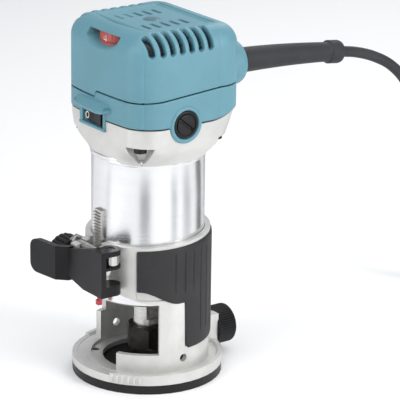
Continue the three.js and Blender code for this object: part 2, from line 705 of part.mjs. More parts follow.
function headCover() {
  const hollow = cut(unite(headShell(coverBottom, headTop, 0), glandBody()),
    headShell(coverBottom - 10, headTop, coverWall), glandBore(),
    box(-far, far, -far, far, 0, partingZ + gap / 2));
  const [z0, z1] = [dialBottom - gap, dialBottom + dialHeight + gap];
  return cut(hollow, ...ventTools(),
    rod('z', [0, dialY], z0, z1, dialRadius + dialClearance, dialRadius + dialClearance, 32),
    box(-dialWindow, dialWindow, -far, dialY - 6, z0, z1),
    rod('z', [0, headScrewY], headShoulder, 2 * far, headScrewRadius + gap, headScrewRadius + gap, 12),
    rod('z', [0, headScrewY], headTop - 1.8, 2 * far, headScrewHead + gap));
}

const headScrew = () => unite(rod('z', [0, headScrewY], headTop - 1.5, headTop - 0.6, headScrewHead),
  rod('z', [0, headScrewY], bracketTop - 3.5, headTop - 1.4, headScrewRadius, headScrewRadius, 12));

function bearingBracket() {
  const { thickness, halfWidth, top } = bracketBar;
  const reach = bodyHalfWidth - coverWall - 0.9;
  const bar = box(-reach, reach, -halfWidth, halfWidth, top - thickness, top);
  const cup = rod('z', [0, 0], rearBearingBottom, bracketTop, bracketCupRadius);
  return cut(unite(bar, cup),
    rod('z', [0, 0], far, rearBearingBottom + rearBearingHeight + 2 * gap, rearBearingRadius + gap),
    rod('z', [0, 0], far, bracketTop - 5, 7.4),
    rod('z', [0, headScrewY], far, 2 * far, headScrewRadius + gap, headScrewRadius + gap, 12));
}

const bearing = (inner, outer, z0, z1) => ring(inner, outer, z0, z1, 28);

function brushHolder(side) {
  const [x0, x1] = onSide(side, commutatorRadius + 3, brushSeat);
  const body = rod('x', [brushY, brushZ], x0, x1, brushHolderRadius, brushHolderRadius, 20);
  const [y, z] = [brushHalf.y + 0.4, brushHalf.z + 0.4];
  return cut(body, box(x0 - 1, x1 + 1, brushY - y, brushY + y, brushZ - z, brushZ + z));
}

function brush(side) {
  const [x0, x1] = onSide(side, commutatorRadius + 0.4, brushSeat - 10);
  return box(x0, x1, brushY - brushHalf.y, brushY + brushHalf.y, brushZ - brushHalf.z, brushZ + brushHalf.z);
}

function brushSpring(side) {
  const points = [];
  const count = brushSpringTurns * 8;
  const [from, to] = [brushSeat - 9, brushSeat - 1.8];
  for (let i = 0; i <= count; i += 1) {
    const a = (i / 8) * 2 * Math.PI;
    points.push(new THREE.Vector3(side * between(from, to, i / count), brushY + 2 * Math.cos(a),
      brushZ + 2 * Math.sin(a)));
  }
  const shape = new THREE.Shape([0, 72, 144, 216, 288].map((a) => new THREE.Vector2(...onCircle(brushSpringWire, a))));
  return toSolid(new THREE.ExtrudeGeometry(shape, { extrudePath: new THREE.CatmullRomCurve3(points), steps: count,
    curveSegments: 1 }));
}

function brushCap(side) {
  const [x0, x1] = onSide(side, brushSeat + gap, bodyHalfWidth + 0.2);
  const [s0, s1] = onSide(side, bodyHalfWidth - 1.2, bodyHalfWidth + 1.2);
  const slot = 0.7 * brushCapRadius;
  return cut(rod('x', [brushY, brushZ], x0, x1, brushCapRadius, brushCapRadius, 32),
    box(s0, s1, brushY - slot, brushY + slot, brushZ - 0.8, brushZ + 0.8));
}

function housingScrew(side, y) {
  const at = [side * screwX, y];
  return unite(rod('z', at, screwCeiling - gap - screwHeadHeight, screwCeiling - gap, screwHeadRadius,
    screwHeadRadius, 16), rod('z', at, screwCeiling - 1, columnTop - 4, screwRadius, screwRadius, 10));
}

const switchBody = () => box(switchX - switchWidth / 2, switchX + switchWidth / 2, bodyFront + 1.6,
  bodyFront + 1.6 + switchDepth, switchBottom, switchTop);

function switchRocker() {
  const half = switchWidth / 2 - 0.5;
  const back = bodyFront + 0.4 - gap;
  const top = [[switchX - half, back - rockerDepth + 0.5], [switchX, back - rockerDepth],
    [switchX + half, back - rockerDepth - 1.4], [switchX + half - 0.6, back], [switchX, back + 0.8],
    [switchX - half + 0.6, back]];
  return prism('z', top, switchBottom + gap, switchTop - gap);
}

function speedDial() {
  const outline = [];
  for (let i = 0; i < dialRibs * 2; i += 1) {
    const r = dialRadius - (i % 2) * 0.35;
    const a = (i / dialRibs) * Math.PI;
    outline.push([r * Math.cos(a), dialY + r * Math.sin(a)]);
  }
  return unite(prism('z', outline, dialBottom, dialBottom + dialHeight),
    rod('z', [0, dialY], dialBottom - 4.6, dialBottom + 1, dialStemRadius, dialStemRadius, 16));
}

// A plate under the dial with a choke and a block of parts on its lower side.
function controlBoard() {
  const top = dialBottom - 5.8;
  const [y0, y1] = [bodyFront + 2.2, bodyFront + 25.2];
  return unite(box(-26, 26, y0, y1, top - 1.6, top), box(-22, -10, y0 + 5, y0 + 17, top - 8, top - 1.4),
    box(8, 22, y0 + 7, y0 + 17, top - 6, top - 1.4));
}

function armatureShaft() {
  const shoulder = columnTop - 4;
  const top = rearBearingBottom + rearBearingHeight + 3;
  const profile = [[0, noseBottom + 12], [noseBore, noseBottom + 10], [noseBore, noseBottom],
    [noseRadius, noseBottom], [noseRadius, barrelBottom + 2], [shaftRadius, barrelBottom + 2],
    [shaftRadius, shoulder], [rearShaftRadius, shoulder], [rearShaftRadius, top], [0, top]];
  const half = noseFlats.across / 2;
  const flats = [-1, 1].map((side) => box(...onSide(side, half, 2 * half), -far, far, noseFlats.bottom,
    noseFlats.top));
  return cut(lathe(profile, 32), ...flats);
}

function armatureCore() {
  const outline = [];
  const inner = armatureRadius - slotDepth;
  const step = 360 / armatureSlots;
  for (let i = 0; i < armatureSlots; i += 1) {
    for (const share of [0.12, 0.5, 0.88]) outline.push(onCircle(armatureRadius, (i + share) * step));
    for (const share of [0.92, 1.08]) outline.push(onCircle(inner, (i + share) * step));
  }
  return cut(prism('z', outline, statorBottom, statorTop), rod('z', [0, 0], 0, far, shaftRadius + gap));
}

const commutator = () => ring(shaftRadius + gap, commutatorRadius, coverBottom - 8.5, coverBottom + 9.5, 24);

function coolingFan() {
  const reach = boreRadius - fanMargin;
  const blades = [];
  for (let i = 0; i < fanBlades; i += 1) {
    blades.push(box(fanHub - 1, reach, -0.7, 0.7, fanBottom, fanTop - 1).rotate([0, 0, (i * 360) / fanBlades]));
  }
  const hub = unite(rod('z', [0, 0], fanBottom, fanTop, fanHub),
    rod('z', [0, 0], fanTop - 2, fanTop, reach, reach, 40));
  return cut(unite(hub, ...blades), rod('z', [0, 0], 0, far, shaftRadius + gap));
}

const fanBaffle = () => ring(baffleHole, boreRadius - gap, baffleBottom, baffleBottom + 2, 40);

function statorCore() {
  const core = ring(armatureRadius + 1, boreRadius - gap, statorBottom, statorTop, 40);
  return cut(core, box(-7, 7, -armatureRadius - 6.8, armatureRadius + 6.8, 0, far));
}

const winding = (z0) => ring(windingInner, windingOuter, z0, z0 + windingHeight, 32);

function colletNut() {
  const corner = nutAcross / 2 / Math.cos(30 * rad);
  const [flat, chamfer] = [nutAcross / 2, 2];
  const hex = rod('z', [0, 0], nutBottom, nutTop, corner, corner, 6);
  const turned = lathe([[0, nutBottom - 1], [flat - 0.6, nutBottom - 1], [flat + chamfer, nutBottom + chamfer],
    [flat + chamfer, nutTop - chamfer], [flat, nutTop + 0.2], [0, nutTop + 0.2]], 30);
  return cut(hex.intersect(turned), rod('z', [0, 0], nutFloor, 2 * nutTop, noseRadius + gap, noseRadius + gap, 28),
    rod('z', [0, 0], 0, nutFloor + 1, colletRadius + gap, colletRadius + gap, 24));
}

function colletCone() {
  const body = ring(colletBore, colletRadius, nutBottom - 2 * gap, colletTop, 28);
  const slits = [0, 60, 120].map((a) => box(-8, 8, -colletSlit / 2, colletSlit / 2, nutBottom + 1, colletTop + 4)
    .rotate([0, 0, a]));
  return cut(body, ...slits);
}

const guardPath = new THREE.QuadraticBezierCurve3(new THREE.Vector3(0, guardStart, partingZ),
  new THREE.Vector3(0, (guardStart + guardEnd) / 2, partingZ), new THREE.Vector3(0, guardEnd, partingZ - guardDroop));

function guardRings(from, to, radiusAt, count) {
  const rings = [];
  for (let k = 0; k <= count; k += 1) {
    const t = from + ((to - from) * k) / count;
    const p = guardPath.getPoint(t);
    const d = guardPath.getTangent(t);
    const r = radiusAt(t);
    const ringPoints = [];
    for (let i = 0; i < 14; i += 1) {
      const a = (i / 14) * 2 * Math.PI;
      ringPoints.push([p.x + r * Math.sin(a), p.y - d.z * r * Math.cos(a), p.z + d.y * r * Math.cos(a)]);
    }
    rings.push(ringPoints);
  }
  return rings;
}

function cordGuard() {
  const taper = (t) => between(guardRadius, guardTip, t);
  const collar = glandRod(guardStart, guardStart + guardCollar.length, guardCollar.radius);
  return unite(loft(guardRings(0, 1, taper, 8)), collar, loft(guardRings(0.9, 1, () => guardRingRadius, 1)));
}

function cordClamp() {
  const { halfWidth, front, back } = clampBlock;
  const [y0, y1] = [bodyBack - front, bodyBack - back];
  return unite(box(-halfWidth, halfWidth, y0, y1, partingZ - 9.8, partingZ - 4.4),
    box(-halfWidth / 2, halfWidth / 2, y0, y1, partingZ - 5, partingZ - 2));
}

// Chosen route of the cord from the guard to the coil, over the edge and down to the floor.
const cordPoints = [
  [0, 138.4, 170.3], [0.2, 150, 168.3], [0.8, 163, 164.2], [1.6, 176, 157.4], [1.6, 187.5, 147],
  [0.4, 197, 133.5], [-2, 204, 117], [-5, 208.5, 98], [-8.5, 211, 78], [-12, 212.5, 58], [-15.5, 215, 39],
  [-18.3, 220.5, 22], [-19.8, 230, 9.5], [-20.25, 241, 4.4], [-20.25, 251, 3.7],
];
const coil = { x: 22, y: 276, middle: 35.75, width: 19.5, bottom: 1.8, height: 19.5 };
// Plug: offset of its axis from the coil's, body, strain relief and pins.
const plugSize = { across: 30, behind: 12, length: 30, half: 14.5, thickness: 14.4, relief: 12, pin: 19, spread: 9.5 };

function powerCord() {
  const path = new THREE.CatmullRomCurve3(cordPoints.map((p) => new THREE.Vector3(...p)), false, 'centripetal');
  const shape = new THREE.Shape();
  shape.absarc(0, 0, cordRadius, 0, 2 * Math.PI);
  return toSolid(new THREE.ExtrudeGeometry(shape, { extrudePath: path, steps: 34, curveSegments: 8 }));
}

function cordCoil() {
  const [r0, r1] = [coil.middle - coil.width / 2, coil.middle + coil.width / 2];
  const [z0, z1] = [coil.bottom, coil.bottom + coil.height];
  const section = [[r0, z0 + 3], [r0 + 3, z0], [r1 - 3, z0], [r1, z0 + 3], [r1, z1 - 3], [r1 - 3, z1],
    [r0 + 3, z1], [r0, z1 - 3]];
  return lathe(section, 36).translate([coil.x, coil.y, 0]);
}

function cableTie() {
  const y = coil.y + coil.middle;
  const [half, z0, z1] = [coil.width / 2 + gap, coil.bottom - gap, coil.bottom + coil.height + gap];
  const outer = box(coil.x - 2.4, coil.x + 2.4, y - half - 1.1, y + half + 1.1, z0 - 1.1, z1 + 1.1);
  return cut(outer, box(coil.x - 5, coil.x + 5, y - half, y + half, z0, z1));
}

// Flat two-pin plug lying on the coil.
function plug() {
  const { across, behind, length, half, thickness, relief, pin, spread } = plugSize;
  const bottom = coil.bottom + coil.height + gap;
  const [x, y, z] = [coil.x + across, coil.y - behind, bottom + thickness / 2];
  const side = [[5.5, 0], [half - 0.5, length / 3], [half, 0.75 * length], [half - 2.5, length]];
  const outline = [...side.map(([dx, dy]) => [x + dx, y - dy]), ...side.reverse().map(([dx, dy]) => [x - dx, y - dy])];
  const pins = [-spread, spread].map((dx) => rod('y', [x + dx, z], y - length - pin, y - length + 1, 2.3, 2.3, 12));
  return unite(prism('z', outline, bottom, bottom + thickness), rod('y', [x, z], y - 2, y + relief, 5.2, 4.4, 16),
    ...pins);
}

// ---- materials and assembly ---------------------------------------------------------------------
const finish = (color, roughness, metalness) => () => new THREE.MeshStandardMaterial({ color, roughness, metalness });
const castAluminium = finish(0xd6d5d0, 0.5, 0.4);
const turnedAluminium = finish(0xdcdde0, 0.22, 0.95);
const tealPlastic = finish(0x5f9fb2, 0.42, 0);
const blackPlastic = finish(0x1f1f21, 0.5, 0);
const rubber = finish(0x303033, 0.75, 0);
const steel = finish(0xb5b5b2, 0.3, 1);
const darkSteel = finish(0x2b2826, 0.4, 0.8);
const blackSteel = finish(0x141416, 0.3, 0.6);
const redPlastic = finish(0xb6524f, 0.45, 0);
const pointerRed = finish(0xb5303c, 0.4, 0);
const copper = finish(0xb26a3c, 0.35, 0.9);
const carbon = finish(0x2a2a2c, 0.8, 0.1);
const brass = finish(0xb99a56, 0.35, 0.9);
const laminated = finish(0x77787a, 0.5, 0.7);
const boardGreen = finish(0x2f5d43, 0.6, 0);
const cordRubber = finish(0x19191b, 0.7, 0);

const unit = new THREE.Group();
function add(name, solid, material) {
  const mesh = new THREE.Mesh(toGeometry(solid), material());
  mesh.name = name;
  unit.add(mesh);
}

add('base_casting', baseCasting(), castAluminium);
add('sole_plate', solePlate(), blackPlastic);
soleScrewAngles.forEach((a, i) => add(`sole_screw_${i + 1}`, soleScrew(a), steel));
add('grip_pad_right', padSolid(1, tubeRadius - 0.5, tubeRadius - 0.5 + padThickness, 0), rubber);
add('grip_pad_left', padSolid(-1, tubeRadius - 0.5, tubeRadius - 0.5 + padThickness, 0), rubber);
add('clamp_bolt', clampBolt(), steel);
add('clamp_nut', clampNut(), steel);
add('thrust_washer', thrustWasher(), steel);
add('lever_pin', leverPin(), blackSteel);
add('locking_lever', lockingLever(), blackPlastic);
add('pinion_shaft', pinionShaft(), steel);
add('adjusting_knob', adjustingKnob(), blackPlastic);
add('knob_screw', knobScrew(), steel);
add('depth_pointer', depthPointer(), pointerRed);
add('guide_clamp_screw', guideScrew(), blackPlastic);
add('guide_clamp_washer', guideWasher(), steel);

add('motor_housing', motorHousing(), turnedAluminium);
add('depth_rack', depthRack(), steel);
add('front_bearing', bearing(shaftRadius + gap, frontBearingRadius, barrelBottom + 2.3, barrelBottom + barrelFloor), steel);
add('rear_bearing', bearing(rearShaftRadius + gap, rearBearingRadius, rearBearingBottom,
  rearBearingBottom + rearBearingHeight), steel);
add('bearing_bracket', bearingBracket(), blackPlastic);
add('stator_core', statorCore(), laminated);
add('field_winding_upper', winding(statorTop + gap), copper);
add('field_winding_lower', winding(statorBottom - gap - windingHeight), copper);
add('fan_baffle', fanBaffle(), blackPlastic);
for (const [side, name] of [[-1, 'left'], [1, 'right']]) {
  add(`brush_holder_${name}`, brushHolder(side), brass);
  add(`carbon_brush_${name}`, brush(side), carbon);
  add(`brush_spring_${name}`, brushSpring(side), steel);
  add(`brush_cap_${name}`, brushCap(side), blackPlastic);
}
add('lower_cover', lowerCover(), tealPlastic);
add('head_cover', headCover(), tealPlastic);
add('head_screw', headScrew(), steel);
[[-1, 0], [1, 0], [-1, 1], [1, 1]].forEach(([side, row], i) => add(`housing_screw_${i + 1}`,
  housingScrew(side, screwYs[row]), darkSteel));
add('control_board', controlBoard(), boardGreen);
add('switch_body', switchBody(), blackPlastic);
add('switch_rocker', switchRocker(), blackPlastic);
add('speed_dial', speedDial(), redPlastic);

add('armature_shaft', armatureShaft(), steel);
add('armature_core', armatureCore(), laminated);
add('commutator', commutator(), copper);
add('cooling_fan', coolingFan(), blackPlastic);
add('collet_cone', colletCone(), steel);
add('collet_nut', colletNut(), darkSteel);

add('cord_guard', cordGuard(), rubber);
add('cord_clamp', cordClamp(), blackPlastic);
add('power_cord', powerCord(), cordRubber);
add('cord_coil', cordCoil(), cordRubber);
add('plug', plug(), cordRubber);
add('cable_tie', cableTie(), blackPlastic);

// The origin is the middle of the machine's footprint, on the floor, with the free cord left out.
const onCord = ['cord_guard', 'power_cord', 'cord_coil', 'plug', 'cable_tie'];
const extent = new THREE.Box3();
unit.children.filter((mesh) => !onCord.includes(mesh.name)).forEach((mesh) => extent.expandByObject(mesh));
const middle = extent.getCenter(new THREE.Vector3());
unit.position.set(-middle.x, -middle.y, 0);

const router = new THREE.Group();
router.add(unit);
export default router;
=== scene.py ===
# Looks of the trim router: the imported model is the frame, and finer surfaces are laid on it.
# Shapes are worked out in millimetres about the barrel's axis, and stored in metres.
import math
import bpy
import bmesh
import numpy as np
from mathutils import Matrix, Vector


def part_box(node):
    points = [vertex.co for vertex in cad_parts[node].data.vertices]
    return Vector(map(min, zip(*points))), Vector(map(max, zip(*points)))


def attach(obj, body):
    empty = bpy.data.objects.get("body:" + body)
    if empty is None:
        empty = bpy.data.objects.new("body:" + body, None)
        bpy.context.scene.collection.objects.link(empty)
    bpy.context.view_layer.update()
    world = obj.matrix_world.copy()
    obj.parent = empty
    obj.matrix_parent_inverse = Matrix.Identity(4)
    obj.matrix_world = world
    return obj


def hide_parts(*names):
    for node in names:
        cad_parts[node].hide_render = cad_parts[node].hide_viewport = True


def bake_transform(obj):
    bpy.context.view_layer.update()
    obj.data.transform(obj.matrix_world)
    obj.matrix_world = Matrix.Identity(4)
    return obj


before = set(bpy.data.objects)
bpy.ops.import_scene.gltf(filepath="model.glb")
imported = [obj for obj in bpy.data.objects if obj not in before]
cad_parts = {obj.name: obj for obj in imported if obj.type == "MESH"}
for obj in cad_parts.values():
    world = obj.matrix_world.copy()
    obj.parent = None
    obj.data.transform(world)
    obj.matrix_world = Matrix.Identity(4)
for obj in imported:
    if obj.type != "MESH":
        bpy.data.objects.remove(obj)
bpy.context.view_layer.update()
mm = 0.001


def span(node):
    # lowest and highest corner of a frame piece, in millimetres about the barrel's axis
    low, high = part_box(node)
    return (np.array(low) - axisPoint) / mm, (np.array(high) - axisPoint) / mm


shaftLow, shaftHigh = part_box("armature_shaft")
axisPoint = np.array([(shaftLow[0] + shaftHigh[0]) / 2, (shaftLow[1] + shaftHigh[1]) / 2, 0.0])



def putMesh(name, points, faces, sharpAngle=38):
    # points in millimetres about the axis; faces as an array of corners
    mesh = bpy.data.meshes.new(name)
    place = np.asarray(points, float).reshape(-1, 3) * mm + axisPoint
    mesh.from_pydata(place.tolist(), [], [list(f) for f in faces])
    mesh.validate()
    mesh.shade_smooth()
    mesh.set_sharp_from_angle(angle=math.radians(sharpAngle))
    obj = bpy.data.objects.new(name, mesh)
    bpy.context.scene.collection.objects.link(obj)
    return obj


def gridFaces(rows, cols, wrapRows=False, wrapCols=False):
    # four corners for each cell of a rows x cols grid, closed on itself where asked
    r = np.arange(rows if wrapRows else rows - 1)
    c = np.arange(cols if wrapCols else cols - 1)
    r, c = np.meshgrid(r, c, indexing="ij")
    r2, c2 = (r + 1) % rows, (c + 1) % cols
    return np.stack([r * cols + c, r * cols + c2, r2 * cols + c2, r2 * cols + c], -1).reshape(-1, 4)


def step(x, low, high):
    # rises smoothly from 0 at low to 1 at high
    t = np.clip((x - low) / (high - low), 0, 1)
    return t * t * (3 - 2 * t)


def lines(ends, edges, coarse, reach=0.45):
    # grid positions between two ends, crowded about the given edges
    marks = [np.arange(ends[0], ends[1], coarse), [ends[1]]]
    offsets = np.array([-1.0, -0.55, -0.25, 0.0, 0.25, 0.55, 1.0]) * reach
    if len(edges):
        marks.append((np.asarray(edges)[:, None] + offsets).ravel())
    found = np.sort(np.clip(np.concatenate(marks), ends[0], ends[1]))
    keep = np.concatenate([[True], np.diff(found) > 0.06])
    return found[keep]


def turned(name, profile, sides=96, axis="z", centre=(0, 0), closed=True, ripple=None, sharpAngle=38):
    # a profile of (radius, height) carried round an axis; its ends on the axis are closed with a disc
    profile = np.asarray(profile, float)
    angle = np.arange(sides) * 2 * np.pi / sides
    radius = np.repeat(profile[:, :1], sides, 1)
    height = np.repeat(profile[:, 1:2], sides, 1)
    if ripple is not None:
        radius = radius + ripple(angle[None, :], height, radius)
    a, b = radius * np.cos(angle), radius * np.sin(angle)
    if axis == "z":
        points = np.stack([a + centre[0], b + centre[1], height], -1)
    elif axis == "x":
        points = np.stack([height, a + centre[0], b + centre[1]], -1)
    else:
        points = np.stack([b + centre[0], height, a + centre[1]], -1)
    faces = [list(f) for f in gridFaces(len(profile), sides, wrapRows=not closed, wrapCols=True)]
    if closed:
        faces.append(list(range(sides))[::-1])
        faces.append([(len(profile) - 1) * sides + i for i in range(sides)])
    return putMesh(name, points, faces, sharpAngle=sharpAngle)


def alongPath(path, radii, sides=24):
    # a round section carried along a path, held upright by turning it as little as possible
    path, radii = np.asarray(path, float), np.asarray(radii, float)
    tangent = np.gradient(path, axis=0)
    tangent /= np.linalg.norm(tangent, axis=1)[:, None]
    side = np.cross(tangent[0], [0.0, 0, 1])
    side /= np.linalg.norm(side)
    sideways = []
    for t in tangent:
        side = side - t * (side @ t)
        side /= np.linalg.norm(side)
        sideways.append(side)
    sideways = np.array(sideways)
    upward = np.cross(sideways, tangent)
    angle = np.arange(sides) * 2 * np.pi / sides
    ring = (np.cos(angle)[None, :, None] * sideways[:, None] + np.sin(angle)[None, :, None]
            * upward[:, None])
    return path[:, None] + radii[:, None, None] * ring


def tube(name, path, radii, sides=24, sharpAngle=38):
    points = alongPath(path, radii, sides)
    faces = [list(f)[::-1] for f in gridFaces(len(path), sides, wrapCols=True)]
    faces.append(list(range(sides)))
    faces.append([(len(path) - 1) * sides + i for i in range(sides)][::-1])
    return putMesh(name, points, faces, sharpAngle=sharpAngle)


def bezelled(obj, width, segments=2, angle=32):
    bevel = obj.modifiers.new("edges", "BEVEL")
    bevel.width = width * mm
    bevel.segments = segments
    bevel.limit_method = "ANGLE"
    bevel.angle_limit = math.radians(angle)
    bevel.harden_normals = True
    return obj


def walled(obj, thickness):
    # an open skin gets a closed wall, grown inwards
    wall = obj.modifiers.new("wall", "SOLIDIFY")
    wall.thickness = thickness * mm
    wall.offset = -1
    return obj


def dress(obj, body, slotName, material, *nodes):
    # the piece rides on its body, stands for its frame pieces and takes its finish
    obj.data.materials.clear()
    obj.data.materials.append(material)
    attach(obj, body)
    if nodes:
        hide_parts(*nodes)
    return obj


def refined(node, body, slotName, material, width=0.35, segments=2, angle=32, sharpAngle=34):
    # a frame piece's copy with its loose corners joined, its flats made whole and its edges eased
    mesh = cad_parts[node].data.copy()
    obj = bpy.data.objects.new(node + "_fine", mesh)
    bpy.context.scene.collection.objects.link(obj)
    work = bmesh.new()
    work.from_mesh(mesh)
    bmesh.ops.remove_doubles(work, verts=work.verts, dist=2e-6)
    bmesh.ops.dissolve_limit(work, angle_limit=math.radians(1.2), verts=work.verts, edges=work.edges)
    bmesh.ops.recalc_face_normals(work, faces=work.faces)
    work.to_mesh(mesh)
    work.free()
    mesh.shade_smooth()
    mesh.set_sharp_from_angle(angle=math.radians(sharpAngle))
    if width:
        bezelled(obj, width, segments, angle)
    return dress(obj, body, slotName, material, node)



class Wire:
    # a socket whose arithmetic adds Math nodes
    def __init__(self, finish, socket):
        self.finish = finish
        self.socket = socket

    def maths(self, operation, *values):
        return self.finish.node("ShaderNodeMath", {"operation": operation}, values)

    def __add__(self, other):
        return self.maths("ADD", self, other)

    def __sub__(self, other):
        return self.maths("SUBTRACT", self, other)

    def __mul__(self, other):
        return self.maths("MULTIPLY", self, other)

    def __rsub__(self, other):
        return self.maths("SUBTRACT", other, self)

    __radd__ = __add__
    __rmul__ = __mul__

    def between(self, low, high):
        # 0 under low, 1 over high, smooth between
        return self.finish.node("ShaderNodeMapRange", {"interpolation_type": "SMOOTHSTEP"},
                                {"Value": self, "From Min": low, "From Max": high})


class Finish:
    # one material: node() adds any node, and paint() sets what the shader shows
    def __init__(self, name, metallic=0.0, **constants):
        self.material = bpy.data.materials.new(name)
        self.material.use_nodes = True
        self.nodes = self.material.node_tree.nodes
        self.links = self.material.node_tree.links
        self.shader = self.nodes["Principled BSDF"]
        self.shader.inputs["Metallic"].default_value = metallic
        for socket, value in constants.items():
            self.shader.inputs[socket.replace("_", " ")].default_value = value
        self.object = self.node("ShaderNodeTexCoord", {}, {}, output="Object")

    def node(self, kind, settings, values, output=0):
        made = self.nodes.new(kind)
        for key, value in settings.items():
            if key == "stops":
                self.setStops(made.color_ramp, value)
            else:
                setattr(made, key, value)
        pairs = values.items() if isinstance(values, dict) else enumerate(values)
        for key, value in pairs:
            self.feed(made.inputs[key], value)
        return Wire(self, made.outputs[output])

    def setStops(self, ramp, stops):
        while len(ramp.elements) < len(stops):
            ramp.elements.new(1.0)
        for element, (at, colour) in zip(ramp.elements, stops):
            element.position = at
            element.color = (*colour, 1.0)

    def feed(self, socket, value):
        if isinstance(value, Wire):
            self.links.new(value.socket, socket)
        elif isinstance(value, (tuple, list)) and socket.type == "RGBA":
            socket.default_value = (*value, 1.0)[:4]
        else:
            socket.default_value = value

    def noise(self, scale, detail=3.0, roughness=0.55, at=None, stretch=None):
        vector = at or self.object
        if stretch is not None:
            vector = self.node("ShaderNodeMapping", {}, {"Vector": vector, "Scale": stretch})
        return self.node("ShaderNodeTexNoise", {}, {"Vector": vector, "Scale": scale, "Detail": detail,
                                                    "Roughness": roughness})

    def mix(self, factor, first, second):
        return self.node("ShaderNodeMix", {"data_type": "RGBA"}, {0: factor, 6: first, 7: second}, output=2)

    def attribute(self, name):
        return self.node("ShaderNodeAttribute", {"attribute_name": name}, {}, output="Fac")

    def bump(self, height, strength, distance):
        return self.node("ShaderNodeBump", {},
                         {"Height": height, "Strength": strength, "Distance": distance})

    def paint(self, colour=None, roughness=None, normal=None, metallic=None):
        for socket, value in (("Base Color", colour), ("Roughness", roughness), ("Normal", normal),
                              ("Metallic", metallic)):
            if value is not None:
                self.feed(self.shader.inputs[socket], value)
        return self.material


def mouldedPlastic(name, colour, shade, roughness, grain, depth, hollow=None, shine=0.5):
    # a moulded skin: fine spark-erosion grain, slow changes of gloss, and painted shade in its hollows, mixed
    # in by a point attribute
    f = Finish(name, Specular_IOR_Level=shine)
    cloud = f.noise(28, 4)
    pits = f.noise(grain, 2, 0.6)
    tint = f.mix(cloud.between(0.3, 0.7), shade, colour)
    # painted shade: where the point attribute is set, the tint turns to the given dark colour (on the roof
    # panel it also gives the disc its darker tone)
    if hollow is not None:
        tint = f.mix(f.attribute("hollow"), tint, hollow)
    rough = roughness + 0.12 * (cloud - 0.5) + 0.1 * (pits - 0.5)
    return f.paint(tint, rough, f.bump(pits, depth, 0.00012))


def rubberSkin(name, colour, shade):
    # soft moulded rubber, matt with a faint leather-like grain and dusty bloom
    f = Finish(name, Specular_IOR_Level=0.35)
    bloom = f.noise(45, 5, 0.65)
    cells = f.node("ShaderNodeTexVoronoi", {"feature": "DISTANCE_TO_EDGE"},
                   {"Vector": f.object, "Scale": 1500.0},
                   output="Distance")
    tint = f.mix(bloom.between(0.35, 0.75), colour, shade)
    return f.paint(tint, 0.56 + 0.14 * (bloom - 0.5), f.bump(cells + 0.5 * f.noise(900), 0.22, 0.0001))


def castSkin(name, colour, shade, metallic, roughness):
    # sand-smooth painted casting: orange peel, faint mottling and tiny pits
    f = Finish(name, metallic, Coat_Weight=0.15, Coat_Roughness=0.3)
    mottle = f.noise(60, 5, 0.6)
    peel = f.noise(620, 2, 0.5)
    fine = f.noise(2600, 2, 0.6)
    tint = f.mix(mottle.between(0.35, 0.7), shade, colour)
    rough = roughness + 0.16 * (mottle - 0.5) + 0.1 * (fine - 0.5)
    return f.paint(tint, rough, f.bump(peel + 0.6 * fine, 0.16, 0.00018))


def turnedSkin(name, colour, shade, roughness, alongAxis=2, lay=9000.0, groove=0.14):
    # tool marks run round the axis, so the pattern changes fast along it and slowly across
    f = Finish(name, 1.0)
    stretch = [0.02, 0.02, 0.02]
    stretch[alongAxis] = 1.0
    marks = f.noise(lay, 2, 0.7, stretch=tuple(stretch))
    bands = f.noise(lay / 14, 2, 0.5, stretch=tuple(stretch))
    film = f.noise(35, 4)
    tint = f.mix(bands.between(0.3, 0.7), shade, colour)
    rough = roughness + 0.14 * (marks - 0.5) + 0.1 * (film - 0.5)
    return f.paint(tint, rough, f.bump(marks + bands, groove, 0.00005))


def darkSteel(name, colour, shade, roughness):
    # blackened steel, oily in patches
    f = Finish(name, 0.85)
    oil = f.noise(160, 5, 0.6)
    scale = f.noise(2200, 3, 0.6)
    tint = f.mix(oil.between(0.35, 0.7), shade, colour)
    return f.paint(tint, roughness + 0.25 * (oil - 0.5) + 0.1 * (scale - 0.5), f.bump(scale, 0.2, 0.00008))


def windingSkin(name, colour, shade):
    # enamelled turns lying round the axis
    f = Finish(name, 0.7)
    turns = f.node("ShaderNodeTexWave", {"bands_direction": "Z"}, {"Vector": f.object, "Scale": 420.0,
                                                                   "Distortion": 1.5, "Detail": 2.0})
    return f.paint(f.mix(turns, shade, colour), 0.3 + 0.2 * turns, f.bump(turns, 0.5, 0.0004))


def laminationSkin(name, colour, shade):
    # thin sheets stacked along the axis
    f = Finish(name, 0.8)
    sheets = f.node("ShaderNodeTexWave", {"bands_direction": "Z"}, {"Vector": f.object, "Scale": 300.0})
    return f.paint(f.mix(sheets, shade, colour), 0.4 + 0.15 * sheets, f.bump(sheets, 0.35, 0.0002))


